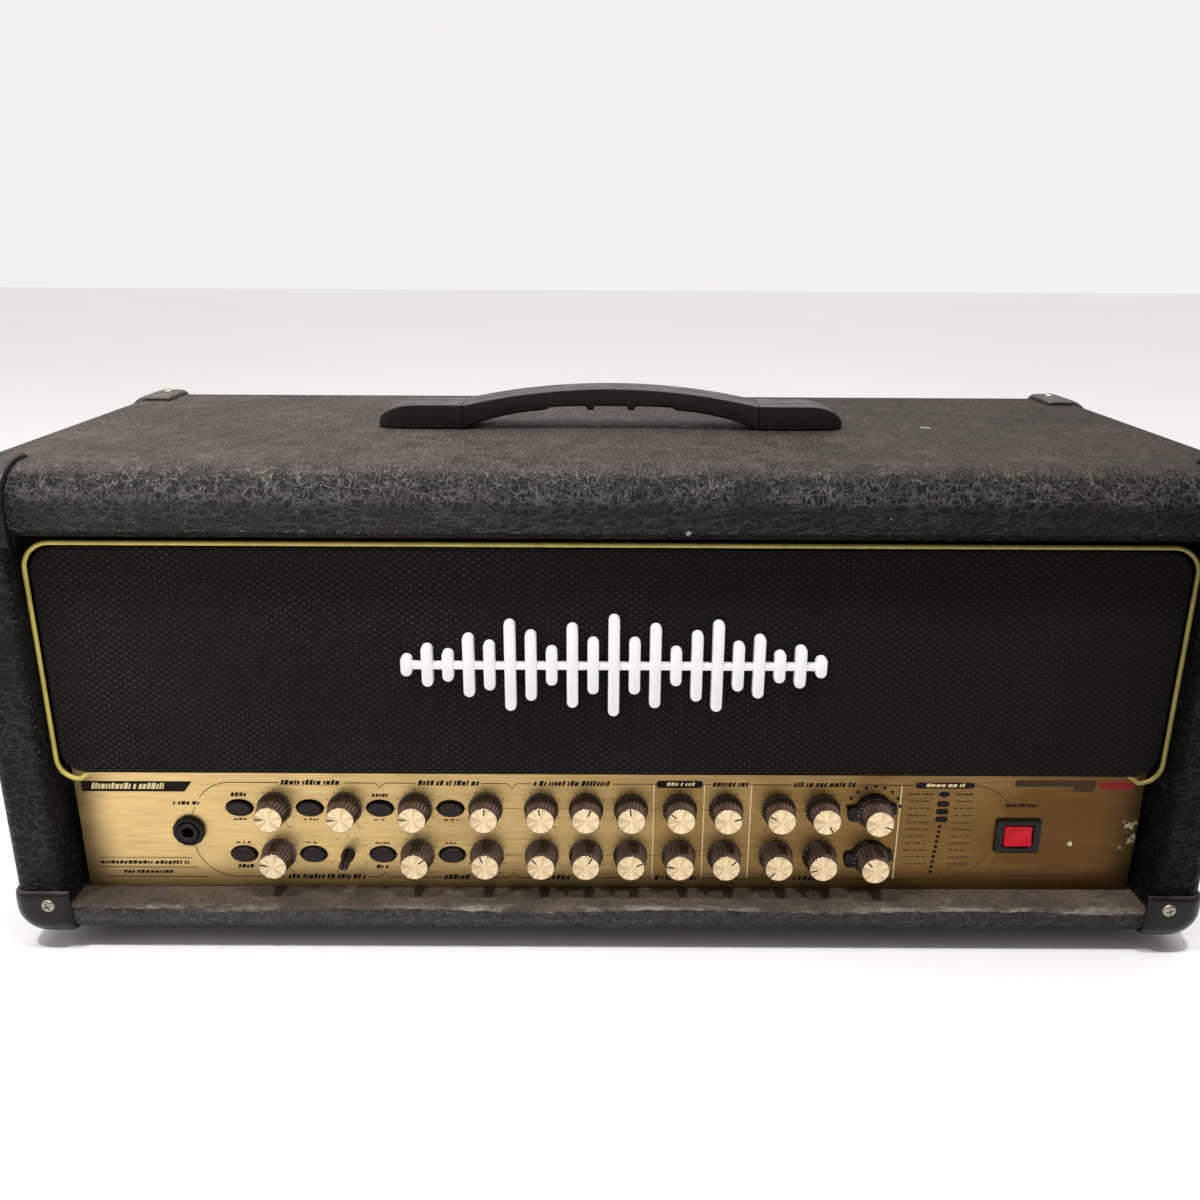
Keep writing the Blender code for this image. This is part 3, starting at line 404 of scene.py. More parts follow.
def spun_cap_material():
    """A turned metal disc whose circular lines catch the light in a bow tie, with the bow tie also painted
    in as dark wedges.
    """
    look = Tree("spun_cap", (0.80, 0.65, 0.43), 0.24, 1.0, Anisotropic=0.9)
    point = look.place()
    radius = look.maths("SQRT", point.axis("X") ** 2.0 + point.axis("Z") ** 2.0)
    lines = look.node("CombineXYZ", {0: radius}).noise(5200.0, 3.0)
    look.join(look.node("Tangent", direction_type="RADIAL", axis="Y"), "Tangent")
    stain = point.noise(300.0, 3.0).fit(0.42, 0.75, 0.0, 0.3)
    flat = look.node("VectorMath", {0: point, 1: (1, 0, 1)}, operation="MULTIPLY")
    bearing = look.node("VectorMath", {0: flat}, operation="NORMALIZE")
    # Painted reflection: dark wedges round the disc stand in for the bow tie of the spun lines.
    painted_wedges = bearing.noise(2.6, 3.0, 0.6).fit(0.36, 0.62)
    base = look.blend(lines.fit(0.35, 0.65, 0.0, 0.3), (0.84, 0.68, 0.45), (0.60, 0.45, 0.26))
    base = look.blend(painted_wedges * 0.62, base, (0.46, 0.33, 0.17))
    look.join(look.blend(stain, base, (0.42, 0.33, 0.20)), "Base Color")
    look.join(painted_wedges.fit(0.0, 1.0, 0.22, 0.34), "Roughness")
    look.bump(lines, 0.012 * MM, 0.5)
    return look.material


def red_lens_material():
    """Translucent red plastic, a little uneven, lit from behind."""
    glow = {"Emission_Strength": 0.06, "Emission_Color": (1.0, 0.01, 0.04, 1.0)}
    look = Tree("red_lens", (0.50, 0.005, 0.016), 0.3, Specular_IOR_Level=0.15, **glow)
    cloud = look.place().noise(160.0, 3.0)
    look.join(look.blend(cloud.fit(0.3, 0.7), (0.40, 0.004, 0.012), (0.62, 0.007, 0.022)), "Base Color")
    look.bump(look.place().noise(900.0, 2.0), 0.02 * MM, 0.3)
    return look.material


def board_material():
    """Green solder mask with faint copper tracks under it."""
    look = Tree("circuit_board", (0.02, 0.12, 0.05), 0.35)
    tracks = look.place().cells(170.0, "DISTANCE_TO_EDGE")
    base = look.blend(tracks.fit(0.05, 0.08), (0.05, 0.22, 0.09), (0.014, 0.095, 0.038))
    look.join(base, "Base Color")
    look.bump(tracks.fit(0.05, 0.08, 1.0, 0.0), 0.05 * MM, 0.4)
    return look.material


def floor_material():
    look = Tree("pale_floor", (0.86, 0.85, 0.84), 0.75)
    cloud = look.place().noise(1.2, 4.0)
    look.join(look.blend(cloud, (0.88, 0.87, 0.86), (0.82, 0.81, 0.80)), "Base Color")
    return look.material


def glass_material():
    look = Tree("valve_glass", (0.92, 0.94, 0.95), 0.04, Transmission_Weight=0.9, IOR=1.5)
    smoke = look.place().noise(90.0, 2.0).fit(0.3, 0.7)
    look.join(look.blend(smoke, (0.95, 0.96, 0.97), (0.78, 0.80, 0.82)), "Base Color")
    return look.material


VINYL = vinyl_material("black_vinyl", (0.0064, 0.0064, 0.0042), (0.146, 0.118, 0.100))
LEDGE_VINYL = ledge_material()
CLOTH_LOOK = cloth_material()
GOLD = brushed_gold("gold_panel", (0.73, 0.52, 0.225), (0.17, 0.080, 0.015), (-0.24, 0.25))
BRONZE = brushed_gold("bronze_tint", (0.50, 0.33, 0.12), (0.20, 0.105, 0.025))
PALE_LINE = Tree("pale_line", (0.72, 0.58, 0.30), 0.4, 0.5).material
INK = Tree("black_ink", (0.008, 0.005, 0.003), 0.6, Specular_IOR_Level=0.15).material
BROWN_INK = Tree("brown_ink", (0.060, 0.032, 0.012), 0.6, Specular_IOR_Level=0.15).material
RED_INK = Tree("red_ink", (0.27, 0.016, 0.012), 0.6, Specular_IOR_Level=0.2).material
BLACK = moulded("black_plastic", (0.0070, 0.0042, 0.0034), 0.30, (0.07, 0.050, 0.040), 0.12,
                Specular_IOR_Level=0.2)
# gloss_black and dusty_black take painted shade towards the right end by their last number.
GLOSS_BLACK = moulded("gloss_black", (0.0070, 0.0058, 0.0048), 0.22, (0.11, 0.09, 0.075), 0.6, 0.5,
                      Specular_IOR_Level=0.2)
DUSTY_BLACK = moulded("dusty_black", (0.0070, 0.0058, 0.0048), 0.30, (0.146, 0.118, 0.100), 0.95, 0.4)
# On the knob skirts, the reddish-brown on the upward faces is partly dust and partly a painted highlight.
KNOB = moulded("knob_plastic", (0.026, 0.0125, 0.0085), 0.24, (0.22, 0.14, 0.10), 0.55, Coat_Weight=0.5)
BUTTON = moulded("button_plastic", (0.013, 0.0070, 0.0055), 0.40, (0.08, 0.05, 0.04), 0.1,
                 Specular_IOR_Level=0.25)
GREY_GRIP = moulded("handle_plastic", (0.0105, 0.0078, 0.0072), 0.30, (0.150, 0.130, 0.118), 0.60,
                    Specular_IOR_Level=0.3)
RUBBER = moulded("black_rubber", (0.018, 0.018, 0.017), 0.75, dusty=0.3)
WHITE = moulded("white_emblem", (0.86, 0.83, 0.82), 0.30, (0.75, 0.72, 0.68), 0.08, Coat_Weight=0.3)
# Painted shade: the piping darkens towards the right end, by its last number.
PIPING = moulded("gold_piping", (0.50, 0.40, 0.085), 0.26, (0.5, 0.42, 0.16), 0.1, 0.72)
NICKEL = metal("aged_nickel", (0.40, 0.375, 0.30), 0.40)
ZINC = metal("zinc_plate", (0.33, 0.325, 0.30), 0.42, (0.05, 1, 1))
ALUMINIUM = metal("extruded_aluminium", (0.62, 0.62, 0.63), 0.38, (1, 1, 0.05))
LAMINATION = metal("transformer_iron", (0.16, 0.14, 0.12), 0.5, (1, 1, 12))
CAP_METAL = spun_cap_material()
RED = red_lens_material()
BOARD = board_material()
GLASS = glass_material()
TAPE = moulded("winding_tape", (0.55, 0.42, 0.10), 0.45)
CERAMIC = moulded("ceramic", (0.62, 0.58, 0.50), 0.45)
WIRE_RED = moulded("wire_red", (0.35, 0.02, 0.015), 0.4)
WIRE_GREY = moulded("wire_grey", (0.18, 0.18, 0.18), 0.4)


# ---- mesh tools ---------------------------------------------------------------------
def make(name, mesh, looks, body="cabinet", at=(0, 0, 0), stands_for=(), sharp=38):
    """A finished piece from a bmesh: its materials, body and replaced nodes."""
    bmesh.ops.recalc_face_normals(mesh, faces=mesh.faces)
    data = bpy.data.meshes.new(name)
    mesh.to_mesh(data)
    mesh.free()
    data.shade_smooth()
    data.set_sharp_from_angle(angle=math.radians(sharp))
    for look in looks:
        data.materials.append(look)
    piece = bpy.data.objects.new(name, data)
    piece.location = at
    bpy.context.scene.collection.objects.link(piece)
    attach(piece, body)
    if stands_for:
        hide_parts(*stands_for)
    return piece


def working_object(mesh):
    """A scene object that holds a bmesh for the time of a Boolean. The bmesh is used up."""
    data = bpy.data.meshes.new("working")
    mesh.to_mesh(data)
    mesh.free()
    made = bpy.data.objects.new("working", data)
    bpy.context.scene.collection.objects.link(made)
    return made


def carved(mesh, cutters):
    """A new bmesh: this one with others cut out of it."""
    base = working_object(mesh)
    helpers = []
    for cutter in cutters:
        bmesh.ops.recalc_face_normals(cutter, faces=cutter.faces)
        helpers.append(working_object(cutter))
        modifier = base.modifiers.new("carve", "BOOLEAN")
        modifier.operation = "DIFFERENCE"
        modifier.object = helpers[-1]
    bpy.context.view_layer.update()
    done = bmesh.new()
    evaluated = base.evaluated_get(bpy.context.evaluated_depsgraph_get())
    done.from_mesh(evaluated.to_mesh())
    evaluated.to_mesh_clear()
    for obj in [base, *helpers]:
        shape = obj.data
        bpy.data.objects.remove(obj)
        bpy.data.meshes.remove(shape)
    return done


def mm(points):
    """Points given in millimetres, in metres."""
    return [tuple(v * MM for v in point) for point in points]


def loft(mesh, sections, look=0, closed=False):
    """A skin over rings of points with the same count, capped unless it is closed."""
    rings = [[mesh.verts.new(p) for p in section] for section in sections]
    count = len(rings[0])
    faces = []
    for low, high in zip(rings, rings[1:] + rings[:1] if closed else rings[1:]):
        for i in range(count):
            j = (i + 1) % count
            faces.append(mesh.faces.new((low[i], low[j], high[j], high[i])))
    if not closed:
        faces.append(mesh.faces.new(rings[0][::-1]))
        faces.append(mesh.faces.new(rings[-1]))
    for face in faces:
        face.material_index = look
    return mesh


def lofted(sections, closed=False):
    return loft(bmesh.new(), sections, closed=closed)


def box(low, high, mesh=None, look=0, soft=0.0, steps=2):
    """A box, with its edges rounded by `soft`."""
    part = bmesh.new()
    (x0, y0, z0), (x1, y1, z1) = low, high
    corners = ((x0, y0), (x1, y0), (x1, y1), (x0, y1))
    loft(part, [[(x, y, z) for x, y in corners] for z in (z0, z1)], look)
    if soft:
        bmesh.ops.recalc_face_normals(part, faces=part.faces)
        bmesh.ops.bevel(part, geom=part.edges, offset=soft, segments=steps, profile=0.5, affect="EDGES")
    return absorb(mesh, part, look)


def absorb(mesh, part, look=None):
    """Adds one bmesh to another, or returns it if there is no other."""
    if look is not None:
        for face in part.faces:
            face.material_index = look
    if mesh is None:
        return part
    bmesh.ops.recalc_face_normals(part, faces=part.faces)
    data = bpy.data.meshes.new("part")
    part.to_mesh(data)
    part.free()
    mesh.from_mesh(data)
    bpy.data.meshes.remove(data)
    return mesh


def moved(mesh, matrix):
    bmesh.ops.transform(mesh, matrix=matrix, verts=mesh.verts)
    return mesh


def circle(radius, count, at=(0.0, 0.0), flat=1.0):
    turns = (2 * math.pi * (i + 0.5) / count for i in range(count))
    return [(at[0] + radius * math.cos(t), at[1] + flat * radius * math.sin(t)) for t in turns]


def prism_y(outline, y0, y1, mesh, look=0):
    loft(mesh, [[(x, y, z) for x, z in outline] for y in (y0, y1)], look)


def turned(profile, count, axis="Y", flat=1.0, closed=False):
    """Turned about an axis from (radius, distance) points in millimetres."""
    rings = []
    for radius, far in mm(profile):
        ring = circle(radius, count, flat=flat)
        rings.append([(u, far, v) if axis == "Y" else (u, v, far) for u, v in ring])
    return lofted(rings, closed)


def rounded_rectangle(low, high, radii, steps):
    """Corner arcs of a rectangle, anticlockwise from its lower left corner."""
    (u0, v0), (u1, v1) = low, high
    radii = radii if isinstance(radii, tuple) else (radii,) * 4
    corners = ((u0, v0, 1, 1), (u1, v0, -1, 1), (u1, v1, -1, -1), (u0, v1, 1, -1))
    points = []
    for k, ((u, v, du, dv), radius) in enumerate(zip(corners, radii)):
        for s in range(steps + 1):
            turn = math.pi * (1 + k / 2) + math.pi / 2 * s / steps
            points.append((u + radius * (du + math.cos(turn)), v + radius * (dv + math.sin(turn))))
    return points


def slab(low, high, radii, steps, y, inset=0.0):
    """A rounded rectangle in x and z, drawn in by an inset, as a ring at one depth."""
    low, high = [v + inset for v in low], [v - inset for v in high]
    return [(x, y, z) for x, z in rounded_rectangle(low, high, radii, steps)]


def smooth_path(points, per_span=8):
    """A Catmull-Rom curve through the points."""
    last = len(points) - 1
    path = []
    for i in range(last):
        a, b, c, d = (Vector(points[min(max(i + k, 0), last)]) for k in (-1, 0, 1, 2))
        for s in range(per_span):
            t = s / per_span
            bend = (2 * a - 5 * b + 4 * c - d) * t * t + (3 * b - 3 * c + d - a) * t**3
            path.append(0.5 * (2 * b + (c - a) * t + bend))
    return [*path, Vector(points[-1])]


def tube(path, radius, sides=10, closed=False, mesh=None, look=0):
    """A round tube along a path, kept from twisting."""
    mesh = mesh or bmesh.new()
    count = len(path)
    normal, sections = None, []
    for i, point in enumerate(path):
        before = path[i - 1] if closed or i else point
        after = path[(i + 1) % count] if closed or i + 1 < count else point
        along = (after - before).normalized()
        if normal is None:
            normal = along.orthogonal().normalized()
        normal = (normal - along * normal.dot(along)).normalized()
        side = along.cross(normal)
        turns = [2 * math.pi * k / sides for k in range(sides)]
        sections.append([point + radius * (normal * math.cos(t) + side * math.sin(t)) for t in turns])
    loft(mesh, sections, look, closed)
    return mesh


def screw_mesh(radius, height):
    """A domed cross-head screw standing on z = 0 and facing up, in millimetres."""
    rings = [(radius, -0.4), (radius, 0.25 * height)]
    rings += [(radius * math.cos(a), height * (0.25 + 0.75 * math.sin(a))) for a in (0.5, 0.85, 1.15, 1.4)]
    arm, width = 0.55 * radius, 0.13 * radius
    cuts = []
    for turn in (0, math.pi / 2):
        cut = box(*mm([(-arm, -width, 0.35 * height), (arm, width, 2 * height)]))
        cuts.append(moved(cut, Matrix.Rotation(turn, 4, "Z")))
    return carved(turned(rings, 24, "Z"), cuts)


SCREW = working_object(screw_mesh(4.2, 1.9)).data
bpy.data.objects.remove(bpy.data.objects["working"])


def screw(mesh, at, outward, scale=1.0, look=0):
    """Adds a screw head at a point, facing outward, turned by chance."""
    part = bmesh.new()
    part.from_mesh(SCREW)
    turn = Vector(outward).to_track_quat("Z", "Y").to_matrix().to_4x4()
    spin = Matrix.Rotation(DICE.uniform(0, math.pi), 4, "Z")
    moved(part, Matrix.Translation(at) @ turn @ spin @ Matrix.Scale(scale, 4))
    return absorb(mesh, part, look)


# ---- cabinet ------------------------------------------------------------------------
def edge_inset(radius, depth):
    """How far a round edge of this radius draws in, at this depth behind its face."""
    if depth >= radius:
        return 0.0
    return radius - math.sqrt(radius**2 - (radius - depth) ** 2)


def cabinet_skin(grow=0.0, steps=14, corner_steps=12, corner_radius=CORNER_RADIUS):
    """The outside of the cabinet, grown by a distance: a roll in front, round corners."""
    radii = (ROLL_RADIUS, EDGE_RADIUS, END_RADIUS, corner_radius)
    roll, edge, side_edge, corner = (radius + grow for radius in radii)
    turns = [math.pi / 2 * (i / steps) for i in range(steps + 1)]
    stations = [(FRONT - grow, 1, roll * (1 - math.cos(turn)), roll) for turn in turns]
    stations += [(REAR + grow, -1, edge * (1 - math.cos(turn)), edge) for turn in turns[::-1]]
    sections = []
    for face, inward, depth, top_radius in stations:
        side = edge_inset(side_edge, depth)
        low = (side - HALF_WIDTH - grow, BASE - grow + edge_inset(edge, depth))
        high = (HALF_WIDTH + grow - side, TOP + grow - edge_inset(top_radius, depth))
        sections.append(slab(low, high, corner - side, corner_steps, face + inward * depth))
    return lofted(sections)


def front_mouth(steps=7):
    """The recess for the grille and the panel, flared by its rounded rim."""
    rim = [(-2 * MM, MOUTH_RADIUS)]
    for i in range(steps + 1):
        turn = math.pi / 2 * i / steps
        rim.append((MOUTH_RADIUS * (1 - math.cos(turn)), MOUTH_RADIUS * (1 - math.sin(turn))))
    rim.append((CLOTH - FRONT + GRILLE_THICKNESS + 0.3 * MM, 0.0))
    low, high = (-OPENING_HALF, LEDGE), (OPENING_HALF, OPENING_TOP)
    return lofted([slab(low, high, 1.5 * MM + 0.2 * grow, 4, FRONT + y, -grow) for y, grow in rim])


def make_covering():
    """The covered shell, open in front and behind, with a rail under the grille."""
    behind, back, past = CLOTH + GRILLE_THICKNESS, FRONT + FRAME_DEPTH, FRONT + FRAME_DEPTH + 1 * MM
    cuts = [front_mouth()]
    for half, y0, y1, z0, z1 in (
        (OPENING_HALF - BATTEN, behind, past, PIPING_LOW.z + BATTEN, OPENING_TOP - BATTEN),
        (OPENING_HALF, behind, past, LEDGE, PANEL_HIGH.z + 0.3 * MM),
        (HALF_WIDTH - SIDE_BOARD, back, REAR + 10 * MM, LEDGE, TOP - TOP_BOARD),
    ):
        cuts.append(box((-half, y0, z0), (half, y1, z1)))
    shell = carved(cabinet_skin(), cuts)
    make("covering", shell, [VINYL], stands_for=["cabinet_shell"], sharp=32)


def make_ledge_strip():
    """A rubbed strip of covering on the ledge, cut unevenly along its front edge."""
    steps, rows = 150, 8
    thickness = 0.5 * MM
    half = OPENING_HALF - 0.4 * MM
    mesh = bmesh.new()
    grid = []
    for i in range(steps + 1):
        x = -half + 2 * half * i / steps
        wobble = 0.5 * MM * math.sin(37 * x) + 0.35 * MM * DICE.uniform(-1, 1)
        front = FRONT + MOUTH_RADIUS * 0.28 + wobble
        row = []
        for k in range(rows + 1):
            y = front + (FACE - 0.4 * MM - front) * (k / rows) ** 1.6
            into = max(0.0, MOUTH_RADIUS - (y - FRONT))
            drop = MOUTH_RADIUS - math.sqrt(max(0.0, MOUTH_RADIUS**2 - into**2))
            row.append(Vector((x, y, LEDGE - drop + thickness)))
        grid.append(row)
    tops = [[mesh.verts.new(p) for p in row] for row in grid]
    unders = [[mesh.verts.new(p - Vector((0, 0, 1.2 * thickness))) for p in row] for row in grid]
    for i in range(steps):
        for k in range(rows):
            mesh.faces.new((tops[i][k], tops[i + 1][k], tops[i + 1][k + 1], tops[i][k + 1]))
            mesh.faces.new((unders[i][k], unders[i][k + 1], unders[i + 1][k + 1], unders[i + 1][k]))
        for k in (0, rows):
            mesh.faces.new((tops[i][k], unders[i][k], unders[i + 1][k], tops[i + 1][k]))
    for i in (0, steps):
        for k in range(rows):
            mesh.faces.new((tops[i][k], tops[i][k + 1], unders[i][k + 1], unders[i][k]))
    make("ledge_strip", mesh, [LEDGE_VINYL])


def make_protectors():
    """A moulded cap over each corner of the cabinet, with a screw through each leg."""
    for side, end, level in ((a, b, c) for a in (-1, 1) for b in (-1, 1) for c in (-1, 1)):
        words = (("front", "rear")[end > 0], ("lower", "upper")[level > 0], ("left", "right")[side > 0])
        name = "_".join(("protector", *words))
        corner = Vector((side * HALF_WIDTH, FRONT if end < 0 else REAR, BASE if level < 0 else TOP))
        inward = Vector((-side, -end, -level))
        thickness = (2.6 if level < 0 else 3.4) * MM
        rear_upper = end > 0 and level > 0
        legs = Vector((29, 42, 41) if rear_upper else (31, 31, 27 if level < 0 else 41)) * MM
        axes = [Vector([inward[axis] if b == axis else 0 for b in range(3)]) for axis in range(3)]
        planes = [(corner + normal * leg, normal) for normal, leg in zip(axes, legs)]
        diagonal = Vector([inward[b] / (legs[b] + 14 * MM) for b in range(3)]).normalized()
        planes.append((corner + inward * (legs.length / math.sqrt(3) + 14 * MM) * 0.56, diagonal))
        mesh = cabinet_skin(0.15 * MM, 10, 10, CORNER_RADIUS + 4 * MM)
        for point, normal in planes:
            bisect(mesh, point, normal, True)
            for k in (0.06, 0.25, 0.55, 1.0):
                bisect(mesh, point - normal * k * PROTECTOR_SLOPE, normal, False)
        bmesh.ops.recalc_face_normals(mesh, faces=mesh.faces)
        surface = BVHTree.FromBMesh(mesh)
        made = make(name, mesh, [DUSTY_BLACK if rear_upper else GLOSS_BLACK], sharp=50)
        thicken(made, planes, thickness)
        screws = bmesh.new()
        inset = Vector((19, 17, 19)) * MM
        for axis, towards in enumerate(axes):
            start = corner - towards * 50 * MM
            start += Vector([0 if b == axis else inward[b] * inset[b] for b in range(3)])
            spot, facing, *_ = surface.ray_cast(start, towards)
            if facing.dot(towards) > 0:
                facing = -facing
            screw(screws, spot + (thickness - 0.2 * MM) * facing, facing, 0.92)
        make(name + "_screws", screws, [NICKEL])


def thicken(piece, planes, thickness):
    """Gives a protector its wall, which thins out towards the planes that cut it."""
    full = piece.vertex_groups.new(name="full")
    for vertex in piece.data.vertices:
        inside = min((point - vertex.co).dot(normal) for point, normal in planes)
        share = clamp(inside / PROTECTOR_SLOPE)
        full.add([vertex.index], math.sqrt(1 - (1 - share) ** 2), "REPLACE")
    wall = piece.modifiers.new("wall", "SOLIDIFY")
    wall.thickness = thickness
    wall.offset = 1
    wall.vertex_group = "full"
    wall.thickness_vertex_group = 0.06


def bisect(mesh, point, normal, clear):
    """Cuts the faces along a plane, and drops what lies in front of it if `clear`."""
    geometry = mesh.verts[:] + mesh.edges[:] + mesh.faces[:]
    bmesh.ops.bisect_plane(mesh, geom=geometry, plane_co=point, plane_no=normal, clear_outer=clear)


def make_feet():
    """Rubber feet, each with its screw head deep in the hole."""
    for place in ("front_left", "front_right", "rear_left", "rear_right"):
        low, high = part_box("foot_" + place)
        centre = (low + high) / 2
        wide, tall = (high.x - low.x) / 2 / MM + 0.35, high.z / MM
        foot = turned(
            [(4.6, 4.5), (4.6, 0.6), (5.2, 0), (wide - 2.6, 0), (wide - 1.2, 0.5), (wide - 0.3, 1.7),
             (wide, 3.2), (wide - 0.5, 8), (wide - 1.4, tall - 0.6), (wide - 2, tall)], 40, "Z")
        absorb(foot, turned([(4, 4.4), (4, 3.2), (3, 2.2), (0.9, 2)], 20, "Z"), 1)
        make(f"foot_{place}_rubber", foot, [RUBBER, NICKEL], at=(centre.x, centre.y, 0.0),
             stands_for=["foot_" + place])


# ---- grille -------------------------------------------------------------------------
def make_cloth():
    """Cloth wrapped over its board: flat in front, turned back at the edges."""
    corner, edge = 14.5 * MM, GRILLE_THICKNESS / MM
    low, high = (GRILLE_LOW.x, GRILLE_LOW.z), (GRILLE_HIGH.x, GRILLE_HIGH.z)
    rims = mm([(0, edge), (0, 1.8), (0.5, 0.7), (1.3, 0.2), (2.4, 0)])
    mesh = lofted([slab(low, high, corner - inset, 8, CLOTH + depth, inset) for inset, depth in rims])
    make("speaker_cloth", mesh, [CLOTH_LOOK], stands_for=["grille_board"])


def make_piping():
    """The gold bead round the cloth. Its lower run dips behind the edge of the cloth."""
    radius = (PIPING_HIGH.y - PIPING_LOW.y) / 2
    half, low, high = PIPING_HIGH.x - radius, PIPING_LOW.z + radius - 1.0 * MM, PIPING_HIGH.z - radius
    y = CLOTH - 0.2 * MM
    upper_corner, lower_corner, curl, behind, above = 15 * MM, 12 * MM, 8 * MM, 3.2 * MM, 5.0 * MM
    radii = (lower_corner, lower_corner, upper_corner, upper_corner)
    path = [Vector(p) for p in slab((-half, low), (half, high), radii, 10, y)]
    lower = []
    for i in range(1, 80):
        x = (half - lower_corner) * (i / 40 - 1)
        away = min(1.0, (half - lower_corner - abs(x)) / curl)
        ease = away * away * (3 - 2 * away)
        lower.append(Vector((x, y + behind * ease, low + above * ease)))
    mesh = tube(path[:11] + lower + path[11:], radius, 12, closed=True)
    make("piping", mesh, [PIPING], stands_for=["grille_piping"], sharp=60)


def make_emblem():
    """A plain emblem: rounded upright bars, like a sound wave, on one thin spine."""
    half_heights = [29, 16, 24, 11, 20, 26, 14, 18, 9, 12, 6]
    row = half_heights[:0:-1] + half_heights
    centre = (BADGE_LOW + BADGE_HIGH) / 2
    pitch = (BADGE_HIGH.x - BADGE_LOW.x - 6.2 * MM) / (len(row) - 1)
    face, back, width = BADGE_LOW.y, BADGE_HIGH.y, 3.1 * MM
    rims = ((0.0, back), (0.0, face + 1.2 * MM), (0.35 * MM, face + 0.35 * MM), (1.1 * MM, face))
    mesh = bmesh.new()
    for i, tall in enumerate(row):
        x = centre.x + (i - len(row) // 2) * pitch
        low, high = (x - width, centre.z - tall * MM), (x + width, centre.z + tall * MM)
        absorb(mesh, lofted([slab(low, high, width - inset - 0.05 * MM, 6, y, inset) for inset, y in rims]))
    low = (BADGE_LOW.x + 2 * MM, face + 1.0 * MM, centre.z - 2 * MM)
    high = (BADGE_HIGH.x - 2 * MM, back - 0.1 * MM, centre.z + 2 * MM)
    box(low, high, mesh, soft=0.6 * MM)
    make("wave_emblem", mesh, [WHITE], stands_for=["name_badge"])


# ---- control panel ------------------------------------------------------------------
KNOBS = sorted(name for name in JOINTS if name.startswith("knob_"))
BUTTONS = sorted(name for name in JOINTS if name.startswith("button_"))
RINGS = sorted(name for name in JOINTS if name.startswith("selector_ring_"))
BARE_SHAFT = "pot_shaft_lower_02"
FULL_SWEEP = 150


def pivot(name):
    return Vector(JOINTS[name]["pos_m"])


def button_place(name):
    low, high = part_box(name)
    return Vector(((low.x + high.x) / 2, FACE, (low.z + high.z) / 2))


def on_panel(place):
    """A place's x and z in millimetres, as the print is drawn."""
    return place.x / MM, place.z / MM


COLUMNS = [on_panel(pivot(f"knob_upper_{i:02d}"))[0] for i in range(1, 13)]
UPPER, LOWER = (on_panel(pivot(f"knob_{row}_01"))[1] for row in ("upper", "lower"))
ROCKER = pivot("power_rocker")
JACK_LOW, JACK_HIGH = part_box("input_jack")
JACK = (JACK_LOW + JACK_HIGH) / 2


def make_panel():
    """The panel sheet with its holes."""
    plate = box(tuple(PANEL_LOW), tuple(PANEL_HIGH), soft=0.25 * MM, steps=1)
    ends = (PANEL_LOW.y - 1 * MM, PANEL_HIGH.y + 1 * MM)
    holes = bmesh.new()
    rounds = [(pivot(name), 3.75, 24, 1.0) for name in KNOBS + [BARE_SHAFT]]
    rounds += [(button_place(name), 8.25, 40, 0.69) for name in BUTTONS] + [(JACK, 5.0, 32, 1.0)]
    for at, radius, count, flat in rounds:
        prism_y(circle(radius * MM, count, (at.x, at.z), flat), *ends, holes)
    (x, z), (half_x, half_z) = (ROCKER.x, ROCKER.z), (12.3 * MM, 9.7 * MM)
    box((x - half_x, ends[0], z - half_z), (x + half_x, ends[1], z + half_z), holes)
    make("panel_sheet", carved(plate, [holes]), [GOLD], stands_for=["front_panel"])


